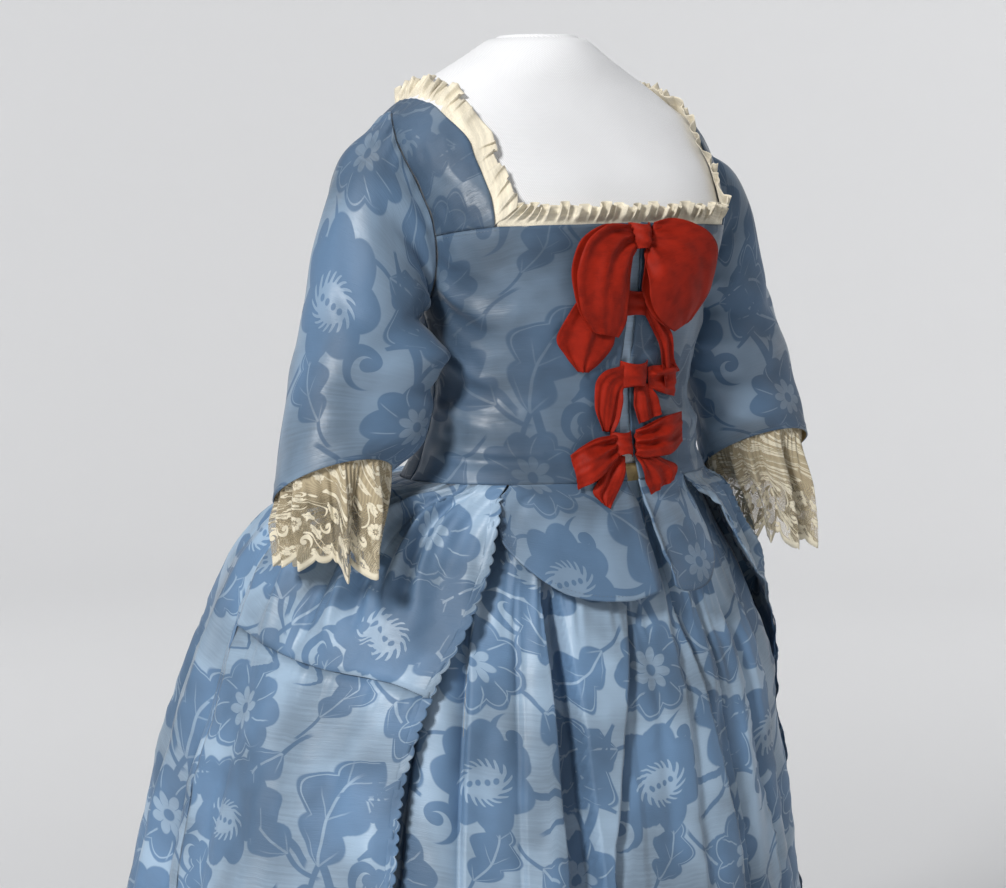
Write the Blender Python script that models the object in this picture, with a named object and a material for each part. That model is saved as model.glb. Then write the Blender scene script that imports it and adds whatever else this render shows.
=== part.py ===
"""A silk damask robe a l'anglaise with its petticoat, worn by a limbless dress form on a stand.

Metres, +Z up. The front faces -Y and the wearer's left is +X. Cloth pieces are walls laid out
in (angle, height): angle 0 is the centre front, +90 the left side and 180 the centre back.
"""
import math

import bmesh
import bpy
from mathutils import Vector

# Cloth walls and the gaps between pieces
SILK = 0.0015
LACE = 0.0011
RIBBON = 0.0011
SEAM = 0.0003
KNOT_SEAT = 0.0010
RIBBON_SEAT = 0.0006
FORM_INSET = 0.0048
BAND_INSET = 0.0058

# Heights
HEM = 0.018
WAIST = 1.020
NECK_FRONT = 1.268
BAND_TOP = 1.036

# Angles of the seams, in degrees
CORNER_ANGLE = 48.0
SIDE_ANGLE = 97.0
BACK_SEAM_WAIST = 158.0
PIECING_ANGLE = 94.0

# The armhole is an ellipse in (angle, height); its turn runs top, front, bottom, back
ARMHOLE_ANGLE = 98.0
ARMHOLE_HEIGHT = 1.281
ARMHOLE_REACH = 25.0
ARMHOLE_RISE = 0.093
STRAP_TURN = 106.3
BACK_SEAM_TURN = 285.0
BACK_STRAP_TURN = 310.0

# height, half width, front, back, middle, squareness of the front half
GOWN_SECTIONS = (
    (0.018, 0.466, -0.283, 0.585, 0.150, 2.0),
    (0.300, 0.411, -0.240, 0.517, 0.140, 2.0),
    (0.580, 0.355, -0.197, 0.452, 0.128, 2.0),
    (0.720, 0.330, -0.175, 0.412, 0.121, 2.0),
    (0.840, 0.305, -0.158, 0.365, 0.103, 2.0),
    (0.920, 0.274, -0.136, 0.340, 0.102, 2.0),
    (0.960, 0.244, -0.121, 0.310, 0.094, 2.0),
    (0.985, 0.222, -0.115, 0.262, 0.078, 2.0),
    (1.005, 0.196, -0.112, 0.195, 0.048, 2.0),
    (1.020, 0.168, -0.112, 0.120, 0.004, 2.1),
    (1.060, 0.152, -0.105, 0.108, 0.000, 2.2),
    (1.110, 0.142, -0.103, 0.104, 0.000, 2.3),
    (1.160, 0.147, -0.110, 0.108, 0.003, 2.5),
    (1.210, 0.158, -0.117, 0.114, 0.008, 2.8),
    (1.265, 0.172, -0.120, 0.120, 0.012, 3.0),
    (1.300, 0.181, -0.106, 0.125, 0.020, 2.9),
    (1.340, 0.188, -0.080, 0.124, 0.028, 2.6),
    (1.365, 0.180, -0.065, 0.120, 0.032, 2.4),
    (1.385, 0.156, -0.054, 0.118, 0.034, 2.2),
    (1.402, 0.131, -0.045, 0.113, 0.035, 2.1),
    (1.415, 0.108, -0.040, 0.108, 0.035, 2.0),
    (1.430, 0.080, -0.033, 0.100, 0.035, 2.0),
    (1.445, 0.056, -0.022, 0.086, 0.034, 2.0),
    (1.455, 0.036, -0.010, 0.076, 0.033, 2.0),
)

# The dress form below the waist: height, half width, front, back, middle, squareness
HIP_SECTIONS = (
    (0.820, 0.110, -0.058, 0.075, 0.004, 2.0),
    (0.840, 0.140, -0.078, 0.098, 0.004, 2.0),
    (0.900, 0.146, -0.082, 0.105, 0.004, 2.0),
    (0.960, 0.148, -0.086, 0.105, 0.003, 2.0),
    (1.000, 0.149, -0.092, 0.103, 0.002, 2.0),
)
FORM_COLUMNS = 24
FORM_LEVELS = (0.82, 0.84, 0.90, 0.99, 1.036, 1.07, 1.11, 1.16, 1.21, 1.265, 1.30, 1.34, 1.365,
               1.385, 1.402, 1.415, 1.43, 1.445, 1.455)

# Centre-front edges of the two fronts: height, angle towards the piece's own side
RIGHT_EDGE = ((0.908, -2.5), (0.956, -3.6), (0.994, -3.0), (1.020, 0.6), (1.060, 2.2),
              (1.180, 1.6), (1.268, 1.2))
LEFT_EDGE = ((0.908, 6.6), (0.956, 7.4), (0.994, 6.2), (1.020, 4.6), (1.060, 3.4),
             (1.180, 2.8), (1.268, 2.4))

# Outlines of the rounded tabs, from the centre front to the waist: own-side angle, height
RIGHT_TAB = ((-2.5, 0.911), (5.0, 0.906), (11.0, 0.908), (17.8, 0.915), (23.5, 0.929),
             (28.4, 0.945), (33.5, 0.966), (36.7, 0.986), (44.8, 1.020))
LEFT_TAB = ((6.6, 0.915), (9.5, 0.909), (12.8, 0.908), (17.0, 0.912), (21.0, 0.924),
            (24.5, 0.942), (26.5, 0.966), (27.0, 0.990), (28.0, 1.020))

# Neckline over the shoulder, from the front corner to the centre back: angle, height
NECK_CURVE = ((48.0, 1.264), (45.5, 1.300), (45.5, 1.340), (56.0, 1.369), (70.0, 1.3815),
              (90.0, 1.3865), (108.0, 1.3835), (122.0, 1.376), (137.0, 1.365), (153.0, 1.354),
              (168.0, 1.348), (180.0, 1.346))
STRAP_END = 125.0

# Pinked front edges of the overskirt: height, own-side angle
RIGHT_SKIRT_EDGE = ((0.018, 51.0), (0.300, 50.0), (0.620, 49.0), (0.730, 48.5), (0.790, 46.8),
                    (0.836, 44.2), (0.894, 38.6), (0.946, 35.8), (0.986, 37.5), (1.020, 45.6))
LEFT_SKIRT_EDGE = ((0.018, 70.0), (0.300, 69.5), (0.580, 68.0), (0.720, 66.0), (0.830, 62.0),
                   (0.877, 56.5), (0.918, 47.0), (0.960, 40.5), (0.990, 35.0), (1.020, 28.8))

# Seam of the pieced front breadth: own-side angle, height
PIECING_SEAM = ((44.6, 0.827), (52.5, 0.840), (70.0, 0.850), (94.0, 0.874))

# Pleats of the petticoat front, from the wearer's right: angle, depth
FRONT_PLEATS = ((-58.0, 0.000), (-55.0, 0.0006), (-50.0, 0.006), (-42.0, 0.000), (-35.0, 0.007),
                (-28.5, 0.001), (-24.0, 0.000), (-18.5, 0.026), (-15.0, 0.001), (-10.0, 0.000),
                (-6.0, 0.001), (-4.2, 0.009), (1.0, 0.002), (6.5, 0.000), (8.6, 0.010),
                (13.0, 0.001), (16.0, 0.000), (18.6, 0.011), (25.0, 0.001), (30.0, 0.007),
                (37.0, 0.000), (44.0, 0.008), (52.0, 0.001), (60.0, 0.008), (67.0, 0.001),
                (76.0, 0.006))
PETTICOAT_SIDES = (-58.0, 76.0)

# Sleeve rings: centre x, y, z, half width, half depth, tilt in degrees, height of the front
SLEEVE_RINGS = (
    (0.203, 0.022, 1.248, 0.081, 0.056, 60.0, 0.000),
    (0.222, 0.014, 1.180, 0.0616, 0.056, 29.0, 0.000),
    (0.246, 0.005, 1.105, 0.060, 0.054, 14.0, 0.004),
    (0.268, 0.000, 1.023, 0.058, 0.052, 0.0, 0.028),
)
LACE_BOTTOM = 0.949
LACE_FLARE = -0.002
LACE_WAVES = 11
LACE_WAVE_DEPTH = 0.0080
LACE_SWAY = 0.044
LACE_CLEAR = 0.0120

RUFFLE_HEIGHT = 0.019
RUFFLE_PITCH = 0.0150
RUFFLE_DEPTH = 0.0042

# Half the gap at the bodice's upright seams, in degrees, and the gap at the skirts' seams
SEAM_ANGLE = 0.10
SKIRT_SEAM = 0.0009
TAB_ROWS = 4
TAB_LIFT = 0.007
RUFFLE_TUCK = 0.0033

# Rows of the skirts
PIECING_HEIGHT = 0.874
SKIRT_TOP = WAIST - SEAM
SKIRT_LEVELS = (HEM, 0.28, 0.56, 0.76, PIECING_HEIGHT, 0.93, 0.965, 0.988, 1.005, SKIRT_TOP)
PETTICOAT_LEVELS = (HEM, 0.30, 0.60, 0.80, 0.89, 0.96, 1.001, 1.011, 1.021, BAND_TOP)

# Loops: name, knot x, knot z, end x, end z, width at the knot, widest, puff, lift
BOW_LOOPS = (
    ("bow_1_loop_right", -0.006, 1.254, -0.052, 1.158, 0.024, 0.060, 0.016, 0.0095),
    ("bow_1_loop_left", 0.017, 1.254, 0.062, 1.168, 0.024, 0.066, 0.018, 0.0095),
    ("bow_4_loop_right", -0.022, 1.060, -0.080, 1.032, 0.016, 0.044, 0.012, 0.0060),
    ("bow_4_loop_left", -0.008, 1.060, 0.058, 1.062, 0.016, 0.040, 0.012, 0.0060),
)
# Tails: name, rows of x, z, width, lift, turn of the width in degrees
BOW_TAILS = (
    ("bow_1_tail", ((-0.060, 1.206, 0.026, 0.0020, 20), (-0.072, 1.180, 0.040, 0.0030, 15),
                    (-0.068, 1.156, 0.052, 0.0040, 8), (-0.060, 1.132, 0.046, 0.0050, 0))),
    ("bow_2_tail", ((0.020, 1.182, 0.016, 0.0022, 20), (0.026, 1.166, 0.026, 0.0050, 15),
                    (0.034, 1.150, 0.030, 0.0070, 10), (0.040, 1.134, 0.026, 0.0050, 5))),
    ("bow_3_tail_right", ((-0.022, 1.120, 0.012, 0.0022, 30), (-0.031, 1.108, 0.024, 0.0040, 22),
                          (-0.037, 1.090, 0.030, 0.0060, 12), (-0.040, 1.070, 0.020, 0.0050, 0))),
    ("bow_3_tail_left", ((0.012, 1.108, 0.014, 0.0022, 0), (0.014, 1.098, 0.024, 0.0040, 0),
                         (0.016, 1.086, 0.026, 0.0060, 0), (0.017, 1.076, 0.022, 0.0050, 0))),
    ("bow_3_loop_left", ((0.018, 1.122, 0.014, 0.0022, 80), (0.030, 1.120, 0.026, 0.0045, 80),
                         (0.040, 1.118, 0.030, 0.0060, 80), (0.048, 1.116, 0.026, 0.0045, 80))),
    ("bow_4_tail_right", ((-0.020, 1.044, 0.014, 0.0018, 20), (-0.030, 1.028, 0.030, 0.0045, 15),
                          (-0.036, 1.010, 0.036, 0.0045, 8), (-0.040, 0.994, 0.030, 0.0040, 0))),
    ("bow_4_tail_left", ((0.004, 1.044, 0.014, 0.0022, -20), (0.016, 1.032, 0.030, 0.0042, -15),
                         (0.024, 1.018, 0.034, 0.0035, -8), (0.026, 1.004, 0.026, 0.0040, 0))),
)
# Knots: name, x, z, half width, half height, lift of the middle
BOW_KNOTS = (
    ("bow_1_knot", 0.0045, 1.2530, 0.0090, 0.0115, 0.0150),
    ("bow_2_knot", 0.0000, 1.1910, 0.0135, 0.0100, 0.0075),
    ("bow_3_knot", -0.0010, 1.1220, 0.0125, 0.0110, 0.0085),
    ("bow_4_knot", -0.0150, 1.0580, 0.0085, 0.0105, 0.0110),
)

# Shares of columns and rows that neighbours have in common at their seams
SIDE_SEAM_ROWS = 6
FRONT_ARC_ROWS = 3
STRAP_COLUMNS = 12
STRAP_ROWS = 4
BACK_ARC_ROWS = 6
CENTRE_ARC_ROWS = 2
CENTRE_COLUMNS = 10
FRONT_COLUMNS = 12

# Stand
POLE_RADIUS = 0.0125
BASE_RADIUS = 0.210
BASE_HEIGHT = 0.010
COLLAR_RADIUS = 0.034
COLLAR_HEIGHT = 0.030
STAND_Y = 0.010

SIDES = (("right", -1), ("left", 1))

# name: colour, roughness
MATERIALS = {
    "damask": ((0.20, 0.32, 0.50), 0.38),
    "pale_silk": ((0.38, 0.50, 0.64), 0.40),
    "ruffle": ((0.78, 0.70, 0.52), 0.80),
    "lace": ((0.76, 0.68, 0.48), 0.80),
    "red_silk": ((0.50, 0.03, 0.02), 0.42),
    "knit": ((0.84, 0.85, 0.88), 0.90),
    "steel": ((0.55, 0.56, 0.58), 0.35),
}


def clear_scene():
    for item in list(bpy.data.objects):
        bpy.data.objects.remove(item, do_unlink=True)


def make_material(name):
    colour, roughness = MATERIALS[name]
    material = bpy.data.materials.new(name)
    material.use_nodes = True
    shader = material.node_tree.nodes["Principled BSDF"]
    shader.inputs["Base Color"].default_value = (*colour, 1.0)
    shader.inputs["Roughness"].default_value = roughness
    shader.inputs["Metallic"].default_value = 1.0 if name == "steel" else 0.0
    return material


def read_table(table, key):
    """Smooth row of a table at a key in its first column, with no overshoot."""
    if key <= table[0][0]:
        return table[0][1:]
    if key >= table[-1][0]:
        return table[-1][1:]
    low = max(i for i in range(len(table) - 1) if table[i][0] <= key)
    span = table[low + 1][0] - table[low][0]
    t = (key - table[low][0]) / span

    def slope(i, column):
        if i == 0 or i == len(table) - 1:
            i = min(max(i, 1), len(table) - 1)
            return (table[i][column] - table[i - 1][column]) / (table[i][0] - table[i - 1][0])
        before = (table[i][column] - table[i - 1][column]) / (table[i][0] - table[i - 1][0])
        after = (table[i + 1][column] - table[i][column]) / (table[i + 1][0] - table[i][0])
        if before * after <= 0.0:
            return 0.0
        return 2.0 * before * after / (before + after)

    row = []
    for column in range(1, len(table[0])):
        a = table[low][column]
        b = table[low + 1][column]
        m = slope(low, column) * span
        n = slope(low + 1, column) * span
        row.append((2 * t**3 - 3 * t**2 + 1) * a + (t**3 - 2 * t**2 + t) * m
                   + (3 * t**2 - 2 * t**3) * b + (t**3 - t**2) * n)
    return row


def smooth_step(low, high, value):
    t = min(max((value - low) / (high - low), 0.0), 1.0)
    return t * t * (3.0 - 2.0 * t)


def ring_point(table, angle, height):
    """Point of a section table's surface at an angle in degrees."""
    half_width, front, back, middle, squareness = read_table(table, height)
    across = math.sin(math.radians(angle))
    ahead = math.cos(math.radians(angle))
    if ahead < 0.0:
        squareness = 2.1
    radius = (abs(across)**squareness + abs(ahead)**squareness) ** (-1.0 / squareness)
    depth = middle - front if ahead > 0.0 else back - middle
    return Vector((half_width * across * radius, middle - depth * ahead * radius, height))


def gown_point(angle, height, lift=0.0):
    """Point on the gown's form, moved outwards by the lift."""
    point = ring_point(GOWN_SECTIONS, angle, height)
    if lift == 0.0:
        return point
    along = ring_point(GOWN_SECTIONS, angle + 0.5, height)
    along -= ring_point(GOWN_SECTIONS, angle - 0.5, height)
    up = ring_point(GOWN_SECTIONS, angle, height + 0.002)
    up -= ring_point(GOWN_SECTIONS, angle, height - 0.002)
    return point + along.cross(up).normalized() * lift


def trail(rows):
    """Smooth path through rows of (angle, height), run from 0 to 1 by its length."""
    marks = [0.0]
    for a, b in zip(rows, rows[1:]):
        marks.append(marks[-1] + math.hypot((b[0] - a[0]) * 0.0028, b[1] - a[1]))
    table = [(mark / marks[-1], *row) for mark, row in zip(marks, rows)]
    return lambda t: Vector(read_table(table, t))


def straight(start, end):
    return lambda t: Vector(start).lerp(Vector(end), t)


def part_of(path, start, end):
    return lambda t: path(start + (end - start) * t)


def joined(first, second, share):
    """Two paths end to end, the first over the given share."""
    return lambda t: first(t / share) if t <= share else second((t - share) / (1.0 - share))


def patch(left, right, bottom, top):
    """Coons patch between four paths of (angle, height)."""
    def place(u, v):
        sides = left(v) * (1 - u) + right(v) * u
        ends = bottom(u) * (1 - v) + top(u) * v
        corners = ((bottom(0) * (1 - u) + bottom(1) * u) * (1 - v)
                   + (top(0) * (1 - u) + top(1) * u) * v)
        return sides + ends - corners
    return place


def armhole(turn, inset=0.0):
    """Point (angle, height) of the armhole at a turn in degrees from its top."""
    sway = ARMHOLE_REACH * math.sin(math.radians(turn))
    rise = ARMHOLE_RISE * math.cos(math.radians(turn))
    shrink = 1.0 - inset / 0.08
    return Vector((ARMHOLE_ANGLE - sway * shrink, ARMHOLE_HEIGHT + rise * shrink))


def armhole_arc(start, end):
    return lambda t: armhole(start + (end - start) * t)


def wall_object(name, outer, inner, faces, material):
    """Closed wall between two sheets with the same faces, joined along their free edges."""
    data = bmesh.new()
    fronts = [data.verts.new(point) for point in outer]
    backs = [data.verts.new(point) for point in inner]
    sides = {}
    for face in faces:
        data.faces.new([fronts[i] for i in face])
        data.faces.new([backs[i] for i in reversed(face)])
        for a, b in zip(face, face[1:] + face[:1]):
            if (b, a) in sides:
                del sides[(b, a)]
            else:
                sides[(a, b)] = True
    for a, b in sides:
        data.faces.new((fronts[b], fronts[a], backs[a], backs[b]))
    mesh = bpy.data.meshes.new(name)
    data.to_mesh(mesh)
    data.free()
    mesh.materials.append(material)
    mesh.shade_smooth()
    item = bpy.data.objects.new(name, mesh)
    bpy.context.scene.collection.objects.link(item)
    return item


def grid_faces(columns, rows, closed=False, flip=False):
    """Quads of a grid whose points run up each column in turn."""
    count = columns if closed else columns + 1
    faces = []
    for i in range(columns):
        for j in range(rows):
            a = i * (rows + 1) + j
            b = ((i + 1) % count) * (rows + 1) + j
            face = [a, b, b + 1, a + 1]
            faces.append(face[::-1] if flip else face)
    return faces


def sheet(name, across, along, place, material, thickness=SILK, flip=False, closed=False):
    """Wall over place(u, v) at the given shares; a closed one joins its ends."""
    step = 0.002
    outer = []
    inner = []
    for u in (across[:-1] if closed else across):
        for v in along:
            point = place(u, v)
            low_u = u if u < step and not closed else u - step
            high_u = u if u > 1 - step and not closed else u + step
            low_v = max(v - step, 0.0)
            high_v = min(v + step, 1.0)
            normal = (place(high_u, v) - place(low_u, v)).cross(
                place(u, high_v) - place(u, low_v)).normalized()
            outer.append(point)
            inner.append(point - normal * (-thickness if flip else thickness))
    faces = grid_faces(len(across) - 1, len(along) - 1, closed, flip)
    return wall_object(name, outer, inner, faces, material)


def shares(count):
    return [i / count for i in range(count + 1)]


def gown_wall(name, spots, faces, material, thickness=SILK):
    """Wall of (angle, height, lift) spots on the gown's form."""
    outer = [gown_point(angle, height, lift) for angle, height, lift in spots]
    inner = [gown_point(angle, height, lift - thickness) for angle, height, lift in spots]
    return wall_object(name, outer, inner, faces, material)


def gown_sheet(name, side, across, along, area, material, lift=0.0, thickness=SILK,
               turned=False):
    """Wall over area(u, v), which gives own-side angle and height."""
    spots = []
    for u in across:
        for v in along:
            angle, height = area(u, v)
            spots.append((side * angle, height, lift))
    faces = grid_faces(len(across) - 1, len(along) - 1, flip=(side < 0) != turned)
    return gown_wall(name, spots, faces, material, thickness)


def front_edge(side):
    return RIGHT_EDGE if side < 0 else LEFT_EDGE


def front_area(side):
    """The front above the waist, in own-side angles."""
    def edge(t):
        height = WAIST + (NECK_FRONT - WAIST) * t
        return Vector((read_table(front_edge(side), height)[0], height))

    corner = Vector((CORNER_ANGLE, NECK_CURVE[0][1]))
    tab_angle = (RIGHT_TAB if side < 0 else LEFT_TAB)[-1][0]
    tab_end = Vector((tab_angle, WAIST))
    hip = Vector((SIDE_ANGLE, WAIST))
    top = joined(straight(edge(1.0), corner), straight(corner, armhole(STRAP_TURN)),
                 (FRONT_COLUMNS - STRAP_ROWS) / FRONT_COLUMNS)
    bottom = joined(straight(edge(0.0), tab_end), straight(tab_end, hip), 0.5)
    right = joined(straight(hip, armhole(180.0)), armhole_arc(180.0, STRAP_TURN),
                   SIDE_SEAM_ROWS / (SIDE_SEAM_ROWS + FRONT_ARC_ROWS))
    return patch(edge, right, bottom, top)


def tab_area(side):
    """The tab between its rounded outline, at v = 0, and the waist."""
    outline = trail(RIGHT_TAB if side < 0 else LEFT_TAB)
    edge = front_edge(side)

    def place(u, v):
        start = read_table(edge, WAIST)[0]
        high = Vector((start + (outline(1.0).x - start) * u, WAIST))
        point = outline(u).lerp(high, v)
        if u == 0.0:
            point.x = read_table(edge, point.y)[0]
        return point
    return place


def tab_lift(height):
    """The tabs stand away from the skirt towards their lower edge."""
    return TAB_LIFT * (1.0 - smooth_step(0.92, WAIST, height))


def make_front(name, side, material):
    """Front and tab in one: a grid above the waist, and one below its first columns."""
    rows = SIDE_SEAM_ROWS + FRONT_ARC_ROWS
    area = front_area(side)
    tab = tab_area(side)
    spots = []
    for u in shares(FRONT_COLUMNS):
        for v in shares(rows):
            angle, height = area(u, v)
            angle -= SEAM_ANGLE if u == 1.0 else 0.0
            height -= SEAM * 0.5 if v == 1.0 else 0.0
            height += SEAM if v == 0.0 and u >= 0.5 else 0.0
            spots.append((side * angle, height, 0.0))
    faces = grid_faces(FRONT_COLUMNS, rows)
    columns = FRONT_COLUMNS // 2
    below = []
    for i in range(columns):
        column = []
        for v in shares(TAB_ROWS)[:-1]:
            angle, height = tab(i / columns, v)
            column.append(len(spots))
            spots.append((side * angle, height, tab_lift(height)))
        below.append(column + [i * (rows + 1)])
    corner = columns * (rows + 1)
    for left, right in zip(below, below[1:]):
        for j in range(TAB_ROWS):
            faces.append([left[j], right[j], right[j + 1], left[j + 1]])
    for j in range(TAB_ROWS):
        faces.append([below[-1][j], corner, below[-1][j + 1]])
    if side < 0:
        faces = [face[::-1] for face in faces]
    gown_wall(name, spots, faces, material)


def shoulder_share(neck):
    """Where along the neckline the strap ends behind the shoulder."""
    steps = 400
    return next(i / steps for i in range(steps // 3, steps) if neck(i / steps).x >= STRAP_END)


def make_bodice(silk, pale):
    make_front("bodice_front_right", -1, silk)
    make_front("bodice_front_left", 1, silk)

    def strip(u, v):
        return Vector((-7.0 + 17.0 * u, 1.050 + 0.206 * v))
    gown_sheet("stomacher_strip", 1, shares(4), shares(6), strip, pale, lift=-0.0024,
               thickness=0.0011)

    neck = trail(NECK_CURVE)
    shoulder = shoulder_share(neck)
    for label, side in SIDES:
        make_strap("strap_" + label, side, part_of(neck, 0.0, shoulder), silk)
        make_back(label, side, neck, shoulder, silk)


def make_strap(name, side, neck_edge, silk):
    arm_edge = armhole_arc(STRAP_TURN, BACK_STRAP_TURN - 360.0)
    area = patch(straight(neck_edge(0.0), arm_edge(0.0)),
                 straight(neck_edge(1.0), arm_edge(1.0)), neck_edge, arm_edge)

    def place(u, v):
        angle, height = area(u, v)
        if u == 0.0:
            height += SEAM * 0.5
        if u == 1.0:
            height += SEAM * 0.5
        return Vector((angle, height))
    gown_sheet(name, side, shares(STRAP_COLUMNS), shares(STRAP_ROWS), place, silk, turned=True)


def make_back(label, side, neck, shoulder, silk):
    hip = Vector((BACK_SEAM_WAIST, WAIST))
    seam = trail(((BACK_SEAM_WAIST, WAIST), (156.0, 1.10), (146.0, 1.22),
                  tuple(armhole(BACK_SEAM_TURN))))
    start = Vector((SIDE_ANGLE, WAIST))
    area = patch(straight(start, armhole(180.0)), seam, straight(start, hip),
                 armhole_arc(180.0, BACK_SEAM_TURN))

    def side_place(u, v):
        angle, height = area(u, v)
        angle += SEAM_ANGLE * (1.0 if u == 0.0 else 0.0) - SEAM_ANGLE * (1.0 if u == 1.0 else 0.0)
        return Vector((angle, height + (SEAM if v == 0.0 else 0.0)))
    rows = shares(SIDE_SEAM_ROWS)
    gown_sheet("back_side_" + label, side, shares(BACK_ARC_ROWS), rows, side_place, silk)

    total = SIDE_SEAM_ROWS + CENTRE_ARC_ROWS
    left = joined(seam, armhole_arc(BACK_SEAM_TURN, BACK_STRAP_TURN), SIDE_SEAM_ROWS / total)
    top = joined(straight(armhole(BACK_STRAP_TURN), neck(shoulder)), part_of(neck, shoulder, 1.0),
                 STRAP_ROWS / CENTRE_COLUMNS)
    centre = straight((180.0, WAIST), (180.0, neck(1.0).y))
    middle = patch(left, centre, straight(hip, (180.0, WAIST)), top)

    def centre_place(u, v):
        angle, height = middle(u, v)
        angle += SEAM_ANGLE * (1.0 if u == 0.0 else 0.0) - SEAM_ANGLE * (1.0 if u == 1.0 else 0.0)
        height += SEAM * ((1.0 if v == 0.0 else 0.0) - (0.5 if v == 1.0 else 0.0))
        return Vector((angle, height))
    gown_sheet("back_centre_" + label, side, shares(CENTRE_COLUMNS), shares(total),
               centre_place, silk)


def sleeve_turns():
    """Turns of the sleeve's columns, which meet the corners of the pieces at the armhole."""
    stops = ((180.0, STRAP_TURN, FRONT_ARC_ROWS), (STRAP_TURN, BACK_STRAP_TURN - 360.0,
             STRAP_COLUMNS), (BACK_STRAP_TURN - 360.0, BACK_SEAM_TURN - 360.0, CENTRE_ARC_ROWS),
             (BACK_SEAM_TURN - 360.0, -180.0, BACK_ARC_ROWS))
    turns = []
    for start, end, count in stops:
        turns += [start + (end - start) * i / count for i in range(count)]
    return turns + [-180.0]


def sleeve_ring(step, turn, inset=0.0):
    """Point of a left sleeve's ring 0 to 4; ring 0 is the armhole. Turn 90 is the front."""
    if step == 0:
        return gown_point(*armhole(turn, inset=SEAM * 2))
    x, y, z, half_width, half_depth, tilt, front_rise = SLEEVE_RINGS[step - 1]
    out = math.cos(math.radians(turn)) * (half_width - inset)
    ahead = math.sin(math.radians(turn)) * (half_depth - inset)
    lean = math.radians(tilt)
    rise = out * math.sin(lean) + front_rise * math.sin(math.radians(turn))
    return Vector((x + out * math.cos(lean), y - ahead, z + rise))


def spline(points, t):
    """Catmull-Rom curve through points, t from 0 to the last index."""
    low = min(int(t), len(points) - 2)
    f = t - low
    a = points[max(low - 1, 0)]
    b = points[low]
    c = points[low + 1]
    d = points[min(low + 2, len(points) - 1)]
    return (b * 2 + (c - a) * f + (a * 2 - b * 5 + c * 4 - d) * f**2
            + (b * 3 - a - c * 3 + d) * f**3) * 0.5


def sleeve_point(along, turn, inset=0.0):
    """Point of the left sleeve, along 0 at the armhole to 1 at the hem."""
    return spline([sleeve_ring(step, turn, inset) for step in range(5)], along * 4.0)


def to_side(point, side):
    return Vector((side * point.x, point.y, point.z))


def make_sleeves(silk, lace):
    turns = sleeve_turns()
    across = [(180.0 - turn) / 360.0 for turn in turns]
    for label, side in SIDES:
        def tube(u, v, side=side):
            return to_side(sleeve_point(v, 180.0 - 360.0 * u), side)
        sheet("sleeve_" + label, across, (0.0, 0.13, 0.27, 0.42, 0.6, 0.8, 1.0), tube,
              silk, flip=side > 0, closed=True)

        def flounce(u, v, side=side):
            return to_side(lace_point(180.0 - 360.0 * u, v), side)
        sheet("lace_flounce_" + label, shares(LACE_WAVES * 4), shares(3), flounce, lace,
              thickness=LACE, flip=side > 0, closed=True)


def skirt_reach(y, height):
    """Half width of the gown's skirt at a depth y."""
    half_width, front, back, middle, _ = read_table(GOWN_SECTIONS, height)
    depth = middle - front if y < middle else back - middle
    return half_width * math.sqrt(1.0 - min(abs(y - middle) / depth, 1.0) ** 2)


def lace_point(turn, fall):
    """Point of the left lace, fall 0 inside the sleeve hem to 1 at its scalloped edge."""
    top = sleeve_point(0.955, turn, inset=SILK + 0.0011)
    centre_x, centre_y, _, half_width = SLEEVE_RINGS[-1][:4]
    spread = Vector((top.x - centre_x, top.y - centre_y, 0.0)).normalized()
    wave = math.cos(math.radians(turn) * LACE_WAVES)
    inner = smooth_step(0.2, 0.8, -math.cos(math.radians(turn)))
    depth = LACE_WAVE_DEPTH * smooth_step(0.15, 1.0, fall) * (1.0 - 0.62 * inner) + 0.0005
    bottom = LACE_BOTTOM + 0.006 * math.cos(2.0 * math.radians(turn)) + 0.004 * wave
    point = top + spread * (LACE_FLARE * fall - 0.0014 * (1 - fall))
    point.z = top.z + (bottom - top.z) * fall
    share = (centre_x + half_width - point.x) / (2.0 * half_width)
    point.x += LACE_SWAY * share * smooth_step(0.0, 1.0, fall)
    point += spread * wave * depth
    point.x += max(skirt_reach(point.y, point.z) + LACE_CLEAR - point.x, 0.0)
    return point


def ruffle_place(base, lean_start, lean_end, side, waves):
    """Strip from just under a neck edge, pleated outwards; its ends meet their neighbours."""
    def place(u, v):
        start = base(u)
        ahead = gown_point(*base(u + 0.01)) - gown_point(*base(u - 0.01))
        ahead.normalize()
        point = gown_point(*start, -RUFFLE_TUCK)
        outward = (gown_point(*start) - point).normalized()
        up = outward.cross(ahead) * side
        lean = lean_start * (1 - smooth_step(0.0, 0.2, u)) + lean_end * smooth_step(0.8, 1.0, u)
        free = smooth_step(0.10, 0.7, v)
        pleat = 0.5 - 0.5 * math.cos(2 * math.pi * waves * u)
        pleat *= 0.8 + 0.2 * math.sin(23.0 * u + 1.0)
        rise = (RUFFLE_HEIGHT + 0.0015 * math.sin(17.0 * u)) * v - 0.0025 * (1.0 - v)
        out = (RUFFLE_DEPTH * pleat + 0.0025 * v) * free
        return point + up * rise + ahead * lean * max(rise, 0.0) + outward * out
    return place


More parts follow.
